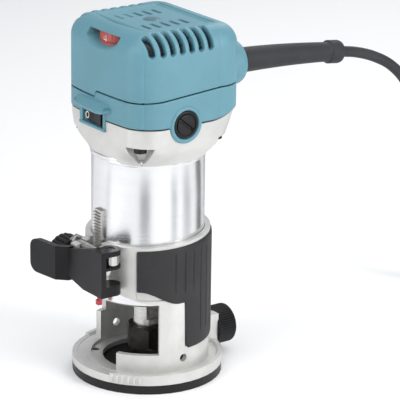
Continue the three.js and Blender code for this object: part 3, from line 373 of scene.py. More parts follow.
skins = {
    # the teal's third colour is painted shade for the vents, roof slots, dial scoop and switch mouth, and the
    # roof disc's darker tone
    "teal": mouldedPlastic("teal_housing", (0.119, 0.290, 0.354), (0.106, 0.264, 0.324), 0.44, 2400, 0.2,
                           hollow=(0.006, 0.020, 0.028)),
    "black": mouldedPlastic("black_moulding", (0.009, 0.009, 0.010), (0.015, 0.015, 0.016), 0.42, 1700,
                            0.28,
                            shine=0.28),
    "rubber": rubberSkin("grip_rubber", (0.021, 0.021, 0.022), (0.031, 0.031, 0.032)),
    "cordRubber": rubberSkin("cord_rubber", (0.026, 0.027, 0.030), (0.036, 0.037, 0.040)),
    "cast": castSkin("cast_silver", (0.66, 0.655, 0.635), (0.60, 0.595, 0.575), 0.45, 0.42),
    # a darker copy of the cast finish for the inner bracket: painted shade for where it lies inside
    "castPaintedShade": castSkin("cast_silver_painted_shade", (0.50, 0.495, 0.48), (0.42, 0.415, 0.40), 0.45, 0.5),
    "turned": turnedSkin("turned_barrel", (0.80, 0.805, 0.81), (0.775, 0.78, 0.79), 0.25, groove=0.02),
    "steelZ": turnedSkin("bright_steel", (0.62, 0.61, 0.59), (0.54, 0.53, 0.51), 0.28),
    "steelX": turnedSkin("bright_steel_across", (0.66, 0.65, 0.63), (0.58, 0.57, 0.55), 0.24, alongAxis=0),
    "darkSteel": darkSteel("blackened_steel", (0.022, 0.021, 0.020), (0.042, 0.040, 0.037), 0.36),
    "lever": mouldedPlastic("lever_black_gloss", (0.005, 0.005, 0.006), (0.010, 0.010, 0.011), 0.3, 1500,
                            0.14,
                            shine=0.22),
    "dial": mouldedPlastic("dial_red", (0.52, 0.085, 0.070), (0.46, 0.070, 0.058), 0.40, 2600, 0.15),
    "numeral": mouldedPlastic("numeral_white", (0.80, 0.79, 0.77), (0.74, 0.73, 0.71), 0.5, 2600, 0.1),
    "pointer": mouldedPlastic("pointer_red", (0.50, 0.040, 0.045), (0.44, 0.032, 0.038), 0.35, 2600, 0.1),
    "copper": windingSkin("enamelled_copper", (0.55, 0.19, 0.06), (0.24, 0.07, 0.02)),
    "laminated": laminationSkin("laminated_steel", (0.30, 0.30, 0.31), (0.14, 0.14, 0.15)),
    "carbon": darkSteel("carbon_block", (0.02, 0.02, 0.02), (0.035, 0.035, 0.035), 0.55),
    "brass": turnedSkin("brass_parts", (0.65, 0.47, 0.18), (0.55, 0.38, 0.13), 0.3),
    "board": mouldedPlastic("board_green", (0.02, 0.10, 0.04), (0.03, 0.13, 0.05), 0.4, 900, 0.2),
}
print("finishes made:", len(skins))

view = {"azimuth": 54.0, "elevation": 18.4, "distance": 1397.0, "lens": 219.4, "roll": 0.8,
        "aside": 29.8, "height": 102.8}
lamps = [  # name, azimuth, elevation, distance, size, power, aimed height
    ("window", 8, 38, 1.15, (0.55, 0.9), 2.9, 0.11),
    ("strip", 112, 24, 0.95, (0.30, 0.9), 5.4, 0.11),
    ("overhead", 55, 82, 1.2, (1.0, 1.0), 5.5, 0.10),
    ("rim", 215, 35, 1.2, (0.5, 0.7), 3.0, 0.12),
    ("left_strip", -12, 4, 0.75, (0.10, 0.7), 1.5, 0.12),
    ("middle_strip", 76, 3, 0.95, (0.07, 0.7), 0.9, 0.12),
]
screens = [  # grey cards close round the bench: azimuth, distance, width, height, tone
    (50, 0.25, 0.080, 0.3, 0.42), (107, 0.25, 0.05, 0.3, 0.45), (136, 0.25, 0.085, 0.3, 0.6),
    (-105, 0.25, 0.17, 0.3, 0.5), (212, 0.25, 0.14, 0.3, 0.5), (-28, 0.25, 0.03, 0.3, 0.6),
]


def lookFrom(azimuth, elevation, roll=0.0):
    a, e, r = (math.radians(v) for v in (azimuth, elevation, roll))
    back = Vector((math.sin(a) * math.cos(e), -math.cos(a) * math.cos(e), math.sin(e)))
    right = Vector((math.cos(a), math.sin(a), 0))
    up = back.cross(right)
    turnedRight = math.cos(r) * right + math.sin(r) * up
    turnedUp = -math.sin(r) * right + math.cos(r) * up
    return back, right, Matrix((turnedRight, turnedUp, back)).transposed()


def setCamera():
    back, right, turn = lookFrom(view["azimuth"], view["elevation"], view["roll"])
    target = Vector(axisPoint) + right * view["aside"] * mm + Vector((0, 0, view["height"] * mm))
    data = bpy.data.cameras.new("bench_camera")
    data.lens = view["lens"]
    data.sensor_width = 36
    data.clip_end = 20
    camera = bpy.data.objects.new("bench_camera", data)
    camera.matrix_world = Matrix.Translation(target + back * view["distance"] * mm) @ turn.to_4x4()
    bpy.context.scene.collection.objects.link(camera)
    bpy.context.scene.camera = camera


def setLamps():
    for name, azimuth, elevation, distance, size, power, height in lamps:
        back, _, turn = lookFrom(azimuth, elevation)
        data = bpy.data.lights.new(name, "AREA")
        data.shape = "RECTANGLE"
        data.size, data.size_y = size
        data.energy = power
        lamp = bpy.data.objects.new(name, data)
        lamp.matrix_world = Matrix.Translation(Vector((0, 0, height)) + back * distance) @ turn.to_4x4()
        bpy.context.scene.collection.objects.link(lamp)
    world = bpy.data.worlds.new("pale_room")
    world.use_nodes = True
    world.node_tree.nodes["Background"].inputs["Color"].default_value = (0.93, 0.95, 1.0, 1)
    world.node_tree.nodes["Background"].inputs["Strength"].default_value = 0.42
    bpy.context.scene.world = world


def setScreens():
    # upright cards that only show as reflections, so the barrel gets its upright bands
    for k, (azimuth, distance, width, height, tone) in enumerate(screens):
        back, right, _ = lookFrom(azimuth, 0)
        centre, side = np.array(back) * distance / mm, np.array(right) * width / 2 / mm
        tall = np.array([0, 0, height / mm])
        card = putMesh(f"card_{k + 1}", [centre - side, centre + side, centre + side + tall,
                                         centre - side + tall],
                       [(0, 1, 2, 3)])
        f = Finish(f"card_{k + 1}_black", Specular_IOR_Level=0.0)
        card.data.materials.append(f.paint((tone, tone, tone * 1.04), 0.9))
        card.visible_camera = False
        card.visible_shadow = False
        card.visible_diffuse = False


def layFloor():
    size = 6000.0
    corners = [(-size, -size, 0), (size, -size, 0), (size, size, 0), (-size, size, 0)]
    floor = putMesh("floor", corners, [(0, 1, 2, 3)])
    f = Finish("pale_floor", Specular_IOR_Level=0.2, Emission_Strength=0.07, Emission_Color=(1, 1, 1, 1))
    f.paint((0.94, 0.94, 0.94), 0.75)
    floor.data.materials.append(f.material)


setCamera()
setLamps()
setScreens()
layFloor()
bpy.context.scene.view_settings.view_transform = "Standard"
print("camera, light and floor set")

# The route is about the barrel's axis, in metres, as it was laid in the model.
route = [(0, .1384, .1703), (.0002, .150, .1683), (.0008, .163, .1642), (.0016, .176, .1574),
         (.0016, .1875, .147),
         (.0004, .197, .1335), (-.002, .204, .117), (-.005, .2085, .098), (-.0085, .211, .078),
         (-.012, .2125, .058), (-.0155, .215, .039), (-.0183, .2205, .022), (-.0198, .230, .0095),
         (-.02025, .241, .0044), (-.02025, .251, .0037)]
coil = {"centre": (22.0, 276.0), "radii": (42.25, 35.75, 29.25), "levels": (4.5, 11.05, 17.6),
        "perTurn": 48,
        "change": 9, "bow": 2.6, "tailLevel": 24.15, "tailRadius": 30.0, "cordRadius": 3.25}
plugShape = {"x": 52.0, "y": 264.0, "z": 28.8, "relief": 12.0, "length": 30.0, "half": 14.5, "thick": 14.2}


def smoothRoute(points, count):
    # a Catmull-Rom curve through the points, at even steps along it
    p = np.asarray(points, float)
    p = np.concatenate([[2 * p[0] - p[1]], p, [2 * p[-1] - p[-2]]])
    t = np.linspace(0, len(p) - 3, 24 * (len(p) - 3) + 1)
    k = np.minimum(t.astype(int), len(p) - 4)
    u = (t - k)[:, None]
    a, b, c, d = p[k], p[k + 1], p[k + 2], p[k + 3]
    fine = 0.5 * (2 * b + (c - a) * u + (2 * a - 5 * b + 4 * c - d) * u ** 2 + (3 * b - a - 3 * c + d)
                  * u ** 3)
    run = np.concatenate([[0], np.cumsum(np.linalg.norm(np.diff(fine, axis=0), axis=1))])
    even = np.linspace(0, run[-1], count)
    return np.stack([np.interp(even, run, fine[:, i]) for i in range(3)], -1)


def coilPath():
    # layer by layer, inwards, outwards and inwards again, then half a turn on top towards the plug.
    # Near the end of each turn it moves a cord's width; where it rises it bows clear of its neighbours.
    radii, levels = coil["radii"], coil["levels"]
    places = [(r, z) for k, z in enumerate(levels) for r in (radii if k % 2 == 0 else radii[::-1])]
    places.append((radii[-1], coil["tailLevel"]))
    perTurn = coil["perTurn"]
    stations = []
    for k, (r, z) in enumerate(places[:-1]):
        nextR, nextZ = places[k + 1]
        move = step(np.arange(perTurn), perTurn - coil["change"], perTurn)
        outwards = 1 if r > radii[1] else -1
        bow = coil["bow"] * np.sin(np.pi * move) * (nextZ != z) * outwards
        stations.append(onCoil(np.arange(perTurn), r + (nextR - r) * move + bow, z + (nextZ - z) * move))
    i = np.arange(perTurn // 2 + 1)
    drift = step(i, 0, perTurn // 2)
    radius = radii[-1] + (coil["tailRadius"] - radii[-1]) * drift
    stations.append(onCoil(i, radius, coil["tailLevel"] + (plugShape["z"] - coil["tailLevel"]) * drift))
    return np.concatenate(stations)


def onCoil(i, radius, height):
    # stations of a turn, clockwise from the coil's left side
    angle = np.pi - i / coil["perTurn"] * 2 * np.pi
    x0, y0 = coil["centre"]
    return np.stack([x0 + radius * np.cos(angle), y0 + radius * np.sin(angle), height], -1)


def cordPath():
    # the chosen route, a straight run into the coil, its turns, and the end inside the plug's relief
    hang = smoothRoute(np.array(route) / mm, 170)
    turns = coilPath()
    entry = turns[0]
    t = np.linspace(0, 1, 7)[1:-1, None]
    leadIn = hang[-1] + (entry - hang[-1]) * np.concatenate([t * 0 + t, t, step(t, 0, 1)], 1)
    leadOut = turns[-1] - np.array([[0, 0.8, 0], [0, 1.6, 0]])
    return np.concatenate([hang, leadIn, turns, leadOut])


guardShape = {"start": 48.0, "end": 137.0, "height": 176.0, "droop": 5.5, "root": 7.8, "tip": 5.6,
              "ring": 7.0,
              "collar": 9.8}


def makeGuard():
    # a tapering sleeve along a drooping curve: collar at the gland, a thicker ring at its end
    g = guardShape
    t = np.linspace(0, 1, 120)[:, None]
    a = np.array([0, g["start"], g["height"]])
    b = np.array([0, (g["start"] + g["end"]) / 2, g["height"]])
    c = np.array([0, g["end"], g["height"] - g["droop"]])
    path = (1 - t) ** 2 * a + 2 * t * (1 - t) * b + t ** 2 * c
    run = t[:, 0]
    radius = g["root"] + (g["tip"] - g["root"]) * run
    radius += (g["ring"] - radius) * step(run, 0.895, 0.905) * (1 - 0.35 * step(run, 0.985, 1.0))
    radius += (g["collar"] - radius) * (1 - step(run, 0.035, 0.05))
    radius -= 0.8 * (1 - step(run, 0.0, 0.012))
    return tube("flex_guard", path, radius, 40)


def makePlug():
    # a rounded flat body: each station along it is a superellipse whose width follows a drawn outline
    p = plugShape
    run = p["length"]
    y = np.concatenate([np.linspace(0, 1.2, 6), np.linspace(2, run - 1.6, 40),
                        np.linspace(run - 1.2, run, 6)])
    width = np.interp(y / run, [0, 0.1, 0.33, 0.75, 0.93, 1],
                      [5.6, 8.5, p["half"] - 0.6, p["half"], 13.0, 11.6])
    ends = np.sqrt(np.clip(1 - ((2 * y / run - 1) / 1.001) ** 10, 0.0, 1))
    angle = np.arange(48) * 2 * np.pi / 48
    cosine, sine = np.cos(angle), np.sin(angle)
    across = np.sign(cosine) * np.abs(cosine) ** 0.55
    upright = np.sign(sine) * np.abs(sine) ** 0.6
    x = p["x"] + np.outer(width * (0.3 + 0.7 * ends), across)
    z = p["z"] + np.outer(p["thick"] / 2 * (0.4 + 0.6 * ends), upright)
    points = np.stack([x, p["y"] - np.repeat(y[:, None], 48, 1), z], -1)
    faces = [list(f) for f in gridFaces(len(y), 48, wrapCols=True)]
    faces += [list(range(48))[::-1], [(len(y) - 1) * 48 + i for i in range(48)]]
    body = putMesh("plug_body", points, faces)
    along = np.linspace(-2, p["relief"], 60)
    radius = np.interp(along, [-2, p["relief"]], [5.2, 4.3]) - 0.5 * (np.sin(along * 2.2) > 0.55)
    path = np.stack([0 * along + p["x"], p["y"] + along, 0 * along + p["z"]], -1)
    sleeve = tube("plug_relief", path, radius, 28)
    pins = []
    for k, dx in enumerate((-9.5, 9.5)):
        start = p["y"] - run
        outline = [(0.05, start - 19), (1.5, start - 19), (2.3, start - 18.2), (2.3, start + 1),
                   (0.05, start + 1)]
        pins.append(turned(f"plug_pin_{k + 1}", outline, 24, "y", (p["x"] + dx, p["z"])))
    return body, sleeve, pins


def makeTie():
    # a flat band round the coil's section, thin enough to pass under it
    x0, y0 = coil["centre"]
    radii, levels, r = coil["radii"], coil["levels"], coil["cordRadius"]
    inner, outer = y0 + radii[-1] - r - 0.4, y0 + radii[0] + r + 0.4
    low, high = levels[0] - r - 0.15, levels[-1] + r + 0.3
    middle = np.array([(inner + outer) / 2, (low + high) / 2])
    half = np.array([(outer - inner) / 2, (high - low) / 2])
    angle = np.arange(96) * 2 * np.pi / 96
    c, s = np.cos(angle), np.sin(angle)
    shape = np.stack([np.sign(c) * np.abs(c) ** 0.28, np.sign(s) * np.abs(s) ** 0.28], -1)
    wall = [(-2.3, 0.0), (-2.3, 0.75), (2.3, 0.75), (2.3, 0.0)]
    rings = [np.column_stack([np.full(96, x0 + dx), middle + shape * (half + out)]) for dx, out in wall]
    faces = gridFaces(4, 96, wrapRows=True, wrapCols=True)
    return bezelled(putMesh("coil_tie", np.array(rings), faces), 0.2)


def fitCord():
    guard = dress(makeGuard(), "motor", "cord_rubber", skins["cordRubber"], "cord_guard")
    path = cordPath()
    flex = tube("power_flex", path, np.full(len(path), coil["cordRadius"]), 20)
    flex.data.materials.append(skins["cordRubber"])
    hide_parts("power_cord", "cord_coil")
    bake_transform(flex)
    body, sleeve, pins = makePlug()
    dress(body, "base", "cord_rubber", skins["cordRubber"], "plug")
    dress(sleeve, "base", "cord_rubber", skins["cordRubber"])
    for pin in pins:
        dress(pin, "base", "brass", skins["brass"])
    tie = dress(makeTie(), "base", "black_plastic", skins["black"], "cable_tie")


fitCord()

head = {"half": 41.0, "front": -31.2, "back": 38.5, "corner": 15.0, "bulge": 4.0, "shoulder": 198.0,
        "round": 11.8,
        "grain": 0.3}
vents = {"first": -24.6, "pitch": 6.35, "count": 7, "half": 1.75, "bottom": 198.3, "topEnd": 29.0,
         "depth": 4.0}
dialRecess = {"left": -12.5, "right": 17.5, "top": 206.3, "bottom": 197.8, "rise": 3.2, "depth": 11.0}
switchMouth = {"left": -13.7, "right": 5.7, "top": 161.8, "depth": 4.6}
flare = {"bottom": 132.0, "rises": (0, 3.5, 7, 10.7, 14, 18, 25.5, 31),
         "side": (0, 0.2, 0.48, 0.74, 0.88, 0.945, 0.985, 1),
         "back": (0, 0.1, 0.22, 0.32, 0.42, 0.54, 0.78, 0.96), "barrel": 32.5, "pocketRadius": 7.6,
         "pocketTop": 146.0,
         "screwX": 29.0, "screwY": (-25.5, 26.0)}
panelSlots = {"rows": ((-18.0, -8.0), (9.0, 19.0)), "half": 1.15, "depth": 3.2, "shallow": 2, "disc": 4.6}


def planOutline(inset):
    # rounded rectangle whose front bows outwards, as polar radius against angle
    h = head
    r = max(h["corner"] - inset, 1.5)
    x1, y0, y1 = h["half"] - inset, h["front"] + inset, h["back"] - inset
    quarter = np.linspace(0, np.pi / 2, 60)
    centres = [(x1 - r, y1 - r, 0), (-x1 + r, y1 - r, 1), (-x1 + r, y0 + r, 2), (x1 - r, y0 + r, 3)]
    arcs = [np.stack([cx + r * np.cos(quarter + k * np.pi / 2), cy + r * np.sin(quarter + k * np.pi / 2)],
                     -1)
            for cx, cy, k in centres]
    corners = np.concatenate(arcs + [arcs[0][:1]])
    pieces = [corners[i] + (corners[i + 1] - corners[i]) * np.linspace(0, 1, 40, endpoint=False)[:, None]
              for i in (59, 119, 179, 239)]
    outline = np.concatenate([arcs[0], pieces[0], arcs[1], pieces[1], arcs[2], pieces[2], arcs[3],
                              pieces[3]])
    x, y = outline[:, 0], outline[:, 1].copy()
    y -= np.where(y < 0, h["bulge"] * np.clip(1 - (x / x1) ** 2, 0, 1) * np.minimum(1, (y / y0) ** 2), 0)
    angle = np.arctan2(y, x)
    order = np.argsort(angle)
    angle, radius = angle[order], np.hypot(x, y)[order]
    return lambda a: np.interp((a + np.pi) % (2 * np.pi) - np.pi, angle, radius, period=2 * np.pi)


def headColumns():
    # directions about the axis, close together where the vents run and wider elsewhere
    radius = planOutline(0.0)
    fine = np.linspace(-np.pi, np.pi, 6001)
    x, y = radius(fine) * np.cos(fine), radius(fine) * np.sin(fine)
    run = np.concatenate([[0], np.cumsum(np.hypot(np.diff(x), np.diff(y)))])
    spacing = np.where((np.abs(x) > 22) & (y < 20), head["grain"], 0.85)
    spacing = np.where((y < -25) & (np.abs(x) < 20), 0.42, spacing)
    density = np.concatenate([[0], np.cumsum(np.diff(run) / spacing[1:])])
    count = int(density[-1])
    return np.interp(np.arange(count) * density[-1] / count, density, fine)


columns = headColumns()


def partingHeight(angle):
    # level at the sides and back, lower across the front and lowest over the switch
    x, y = planOutline(0.0)(angle) * np.cos(angle), planOutline(0.0)(angle) * np.sin(angle)
    front = step(-y, 26, 32)
    return 172.3 + 3.7 * np.clip((y + 30) / 50, 0, 1) - 3.6 * front * (1 - step(x, -2.6, -0.8))


def coverEdge(angle):
    y = planOutline(0.0)(angle) * np.sin(angle)
    return 157.5 + 4.5 * step(y, 15, 38)


def surfaceNormals(grid):
    down = np.gradient(grid, axis=0)
    wrapped = np.concatenate([grid[:, -1:], grid, grid[:, :1]], 1)
    around = (wrapped[:, 2:] - wrapped[:, :-2]) / 2
    normal = np.cross(around, down)
    return normal / np.maximum(np.linalg.norm(normal, axis=2, keepdims=True), 1e-9)


def putSkin(name, grid, hollow, sharpAngle=48):
    # a closed band of rows round the axis, with a point attribute of painted shade in its hollows
    rows, cols = grid.shape[:2]
    faces = gridFaces(rows, cols, wrapCols=True)
    obj = putMesh(name, grid, faces, sharpAngle=sharpAngle)
    shade = obj.data.attributes.new("hollow", "FLOAT", "POINT")
    shade.data.foreach_set("value", hollow.astype(np.float32).ravel())
    return walled(obj, 1.0)


def sink(grid, depth):
    return grid - surfaceNormals(grid) * depth[..., None]


def ventDistance(x, y, z):
    # distance outside the nearest vent's outline: a stadium wrapped over the rounding
    v = vents
    index = np.clip(np.round((y - v["first"]) / v["pitch"]), 0, v["count"] - 1)
    dy = y - (v["first"] + index * v["pitch"])
    low = np.minimum(z - v["bottom"] - v["half"], 0)
    inner = np.minimum(np.abs(x) - v["topEnd"] - v["half"], 0) * (z > head["shoulder"] + 6)
    return np.hypot(dy, np.where(z < head["shoulder"] + 6, low, inner)) - v["half"]


def seamLine(x, y, at):
    # a fine upright groove on the right side
    return 0.3 * np.exp(-((y - at) / 0.35) ** 2) * (x > 0)


def headDepth(grid):
    # how far each point is sunk along its normal and backwards, and how much painted shade it gets
    x, y, z = grid[..., 0], grid[..., 1], grid[..., 2]
    d = ventDistance(x, y, z)
    onSides = (np.abs(x) > 24) & (y < 17)
    vent = step(-d, -0.15, 0.42) * onSides
    rim = 0.25 * step(-d, -0.9, 0.1) * onSides
    r = dialRecess
    middle, half = (r["left"] + r["right"]) / 2, (r["right"] - r["left"]) / 2
    lower = r["bottom"] + r["rise"] * ((x - middle) / half) ** 2
    front = y < -18
    ends = step(half - np.abs(x - middle), -0.1, 0.9)
    scoop = ends * step(z - lower, -0.3, 3.2) * step(r["top"] - z, -0.1, 0.4) * front
    # painted shadow in the dial's scoop, strongest under its top edge
    shaded = scoop * step(scoop, 0.5, 0.9) * (0.25 + 0.75 * step(z, 203.6, 204.6))
    # painted shade: vent floors are darkened to stand for the dark seen through open vents
    paintedShadeAndTone = np.maximum(step(vent, 0.35, 0.85), shaded)
    seams = seamLine(x, y, -28.0) * (z < 197) + seamLine(x, y, 20.0) * (z < 206)
    inwards = np.clip((r["right"] - x) / 1.15 + 0.4, 0, r["depth"])  # slopes in beside the drum
    return vents["depth"] * vent + rim * (1 - vent) + seams, inwards * scoop, paintedShadeAndTone


def makeHead():
    # upright wall from the parting line to the shoulder, a quarter round, then the roof panel's rim
    h = head
    wall = np.concatenate([[0.0, 0.012, 0.03], np.linspace(0.07, 0.9, 13), np.linspace(0.92, 1, 7)])
    turn = np.linspace(0, np.pi / 2, 40)[1:]
    start = partingHeight(columns) + 0.2
    edge = planOutline(0.0)(columns)
    rings = []
    for k, t in enumerate(wall):
        inset = (0.8, 0.25, 0.0)[k] if k < 3 else 0.0
        rings.append((edge - inset, start + (h["shoulder"] - start) * t))
    for a in turn:
        inset = h["round"] * (1 - np.cos(a))
        rings.append((planOutline(inset)(columns),
                      np.full(len(columns), h["shoulder"] + h["round"] * np.sin(a))))
    for inset, drop in ((12.4, 0.0), (12.8, 0.0), (13.0, 0.15), (13.2, 0.5), (13.25, 1.4)):
        rings.append((planOutline(inset)(columns),
                      np.full(len(columns), h["shoulder"] + h["round"] - drop)))
    radius, height = np.array([r for r, z in rings]), np.array([z for r, z in rings])
    grid = np.stack([radius * np.cos(columns), radius * np.sin(columns), height], -1)
    depth, backwards, paintedShadeAndTone = headDepth(grid)
    grid = sink(grid, depth)
    grid[..., 1] += backwards
    return putSkin("head_shell", grid, paintedShadeAndTone)


def makeRoofPanel():
    # a flat field inside the rim, with a raised border, slots across it and a raised disc in a sunk ring,
    # darkened; its stipple is not modelled
    h, p = head, panelSlots
    reachX, front, back = h["half"] - 12.6, h["front"] + 11.2, h["back"] - 12.6
    centres = vents["first"] + vents["pitch"] * np.arange(vents["count"])
    centres = centres[(centres > front + 2.5) & (centres < back - 2)]
    slotEdges = np.concatenate([centres - p["half"], centres + p["half"]])
    y = lines((front, back), slotEdges, 0.7, 0.3)
    rowEdges = [e for row in p["rows"] for e in row] + [-reachX + 2.2, reachX - 2.2]
    x = lines((-reachX, reachX), rowEdges, 0.7, 0.3)
    gx, gy = np.meshgrid(x, y, indexing="ij")
    nearest = centres[np.abs(gy[..., None] - centres).argmin(-1)]
    depth, paintedShadeAndTone = np.zeros_like(gx), np.zeros_like(gx)
    for left, right in p["rows"]:
        middle, half = (left + right) / 2, (right - left) / 2 - p["half"]
        d = np.hypot(np.maximum(np.abs(gx - middle) - half, 0), gy - nearest) - p["half"]
        shallow = (nearest < centres[0] + (p["shallow"] - 0.5) * vents["pitch"]) & (left < 0)
        cutIn = step(-d, -0.15, 0.3)
        depth += cutIn * np.where(shallow, 0.5, p["depth"])
        # painted shade on the slots' floors, weaker on the shallow ones
        paintedShadeAndTone = np.maximum(paintedShadeAndTone, step(cutIn, 0.3, 0.9) * np.where(shallow, 0.25, 1.0))
    fromEdge = np.minimum(reachX - np.abs(gx), np.minimum(gy - front, back - gy))
    border = 0.7 * step(fromEdge, 0.8, 1.5) * step(-fromEdge, -3.2, -2.5)
    button = np.hypot(gx, gy - 1.0)
    depth -= border * (1 - paintedShadeAndTone)
    depth += 0.5 * np.exp(-((button - p["disc"]) / 0.35) ** 2)
    depth -= 0.25 * step(-button, -p["disc"] + 0.2, -p["disc"] + 0.8)
    # the disc inside the ring is darkened by 0.55 in the same attribute
    paintedShadeAndTone = np.maximum(paintedShadeAndTone, 0.55 * step(-button, -p["disc"] + 0.1, -p["disc"] + 0.5))
    top = h["shoulder"] + h["round"] - 0.75
    grid = np.stack([gx, gy, top - depth], -1)
    obj = putMesh("roof_panel", grid, gridFaces(*gx.shape)[:, ::-1], sharpAngle=48)
    shade = obj.data.attributes.new("hollow", "FLOAT", "POINT")
    shade.data.foreach_set("value", paintedShadeAndTone.astype(np.float32).ravel())
    return walled(obj, 1.0)


def makeLowerCover():
    # band between the silver flare and the parting line, with the switch's mouth sunk in
    t = np.concatenate([[0, 0.015, 0.04], np.linspace(0.08, 0.93, 20), [0.965, 0.985, 1.0]])
    low, high = coverEdge(columns), partingHeight(columns) - 0.2
    edge = planOutline(0.0)(columns)
    inset = np.interp(t, [0, 0.015, 0.04, 0.965, 0.985, 1], [1.2, 0.3, 0, 0, 0.25, 0.8])
    radius = edge[None] - inset[:, None]
    height = low[None] + (high - low)[None] * t[:, None]
    grid = np.stack([radius * np.cos(columns), radius * np.sin(columns), height], -1)
    x, y, z = grid[..., 0], grid[..., 1], grid[..., 2]
    m = switchMouth
    mouth = step(x, m["left"] - 0.2, m["left"] + 0.4) * step(-x, -m["right"] - 0.2, -m["right"] + 0.4)
    mouth = mouth * step(-z, -m["top"] - 0.2, -m["top"] + 0.3) * (y < -20)
    depth = m["depth"] * mouth + seamLine(x, y, -28.0) + seamLine(x, y, 20.0) + brushWell(x, y, z)
    # the switch's mouth gets painted shade through the point attribute
    return putSkin("lower_cover_band", sink(grid, depth), step(mouth, 0.3, 0.9))


def brushWell(x, y, z):
    # a round well under each brush cap, its rim hidden by the boss
    low, high = span("brush_cap_right")
    middle = (low + high) / 2
    return 3.0 * step(-np.hypot(y - middle[1], z - middle[2]), -10.2, -8.8) * (np.abs(x) > 30)


def makeFlare():
    # radius grows from the barrel's circle to the head's outline, faster at the sides than at the back
    f = flare
    top = coverEdge(columns) - 0.35
    angle = columns
    t = np.concatenate([np.linspace(0, 0.36, 16), np.linspace(0.37, 0.54, 12), np.linspace(0.545, 0.56, 5),
                        np.linspace(0.6, 0.975, 12), [0.985, 1.0]])
    height = f["bottom"] + (top - f["bottom"])[None] * t[:, None]
    rise = height - f["bottom"]
    share = lambda kind: smoothSteps(rise, f["rises"], f[kind])
    back = np.clip(np.sin(angle), 0, 1)[None] ** 2
    weight = share("side") * (1 - back) + share("back") * back
    radius = f["barrel"] + (planOutline(0.0)(angle)[None] - 0.3 - f["barrel"]) * weight
    radius[-1] -= 0.9
    hollow = np.zeros_like(radius)
    for sx in (-1, 1):
        for sy in f["screwY"]:
            far = math.hypot(f["screwX"], sy)
            turn = (angle - math.atan2(sy, sx * f["screwX"]) + np.pi) % (2 * np.pi) - np.pi
            offset = far * np.sin(turn)[None] * np.ones_like(radius)
            wide = f["pocketRadius"] * (0.1 + 0.9 * np.sqrt(np.clip(1 - (f["pocketTop"] - height) / 11, 0,
                                                                    1)))
            inside = step(wide - np.abs(offset), -0.3, 1.3) * step(f["pocketTop"] - height, -0.1, 0.5)
            chord = far * np.cos(turn)[None] - np.sqrt(np.clip(f["pocketRadius"] ** 2 - offset ** 2, 0,
                                                               None))
            floor = np.minimum(radius, np.maximum(chord, f["barrel"] - 0.6))
            radius = radius + (floor - radius) * inside * (np.abs(turn) < 0.5)
    x, y = radius * np.cos(angle), radius * np.sin(angle)
    m = switchMouth
    mouth = step(x, m["left"] - 0.4, m["left"] + 0.2) * step(-x, -m["right"] - 0.4, -m["right"] + 0.2)
    mouth = mouth * step(height, 150.9, 152.2) * (y < -20)
    radius = radius - (m["depth"] + 0.8) * mouth - brushWell(x, y, height)
    grid = np.stack([radius * np.cos(angle), radius * np.sin(angle), height], -1)
    return putSkin("flare_casting", grid, hollow)


def smoothSteps(x, at, values):
    # cubic through the steps, with slopes from the neighbours
    at, values = np.asarray(at, float), np.asarray(values, float)
    slope = np.gradient(values, at)
    k = np.clip(np.searchsorted(at, x) - 1, 0, len(at) - 2)
    w = at[k + 1] - at[k]
    t = np.clip((x - at[k]) / w, 0, 1)
    return ((1 + 2 * t) * (1 - t) ** 2 * values[k] + t * (1 - t) ** 2 * w * slope[k]
            + t * t * (3 - 2 * t) * values[k + 1] + t * t * (t - 1) * w * slope[k + 1])


def makeBarrel():
    profile = [(0.05, 48.5), (30.5, 48.5), (31.7, 48.8), (32.5, 49.8), (32.5, 60), (32.5, 90),
               (32.5, 110), (32.5, 131.4),
               (32.7, 132.0), (33.0, 132.4), (33.15, 132.9), (33.1, 133.4), (33.0, 133.9), (33.2, 134.5),
               (33.4, 135.2), (33.2, 135.9), (32.6, 136.3), (31.0, 136.4), (0.05, 136.4)]
    return turned("barrel_tube", profile, 192, sharpAngle=30)


def makeGland():
    # a drum behind the head, filleted into it, with the parting groove along both sides
    groove = lambda a, h, r: -0.4 * (np.exp(-((np.sin(a) * r) / 0.3) ** 2)) * (r > 8)
    profile = [(0.05, 30), (18.5, 36.8), (16.6, 38.6), (15.2, 39.4), (14.3, 40.6), (13.75, 42.4),
               (13.5, 45), (13.5, 52),
               (13.45, 56.5), (13.1, 58.6), (12.3, 60.3), (11.3, 61.3), (10.4, 61.7), (10.0, 61.4),
               (9.9, 60.5),
               (9.9, 54), (0.05, 54)]
    return turned("gland_drum", profile, 128, "y", (0, 176.0), ripple=groove)


def makeBrushCap(side):
    # a raised rim, a sunk ring and a raised middle crossed by a screwdriver slot
    rim = [(0.05, 34.0), (7.7, 34.0), (7.9, 40.6), (7.7, 41.1), (7.2, 41.3), (6.7, 41.1), (6.5, 40.4),
           (5.9, 40.3), (5.7, 41.0), (5.2, 41.3)]
    angle = np.arange(96) * 2 * np.pi / 96
    fine = np.concatenate([rim, np.stack([np.linspace(5.0, 0.05, 22), np.full(22, 41.35)], -1)])
    radius, height = np.repeat(fine[:, :1], 96, 1), np.repeat(fine[:, 1:], 96, 1)
    tilt = math.radians(-38)
    a, b = radius * np.cos(angle), radius * np.sin(angle)
    fromSlot = np.abs(-a * math.sin(tilt) + b * math.cos(tilt))
    height = height - 1.3 * step(-fromSlot, -1.0, -0.6) * (radius < 5.6) * (height > 40.9)
    brush = span("brush_cap_right")
    cy, cz = (brush[0][1] + brush[1][1]) / 2, (brush[0][2] + brush[1][2]) / 2
    points = np.stack([side * height, cy + side * a, cz + b], -1)
    faces = [list(f) for f in gridFaces(len(fine), 96, wrapCols=True)]
    faces.append([(len(fine) - 1) * 96 + i for i in range(96)])
    faces.append(list(range(96))[::-1])
    name = "right" if side > 0 else "left"
    return putMesh("brush_cap_" + name + "_fine", points, faces)


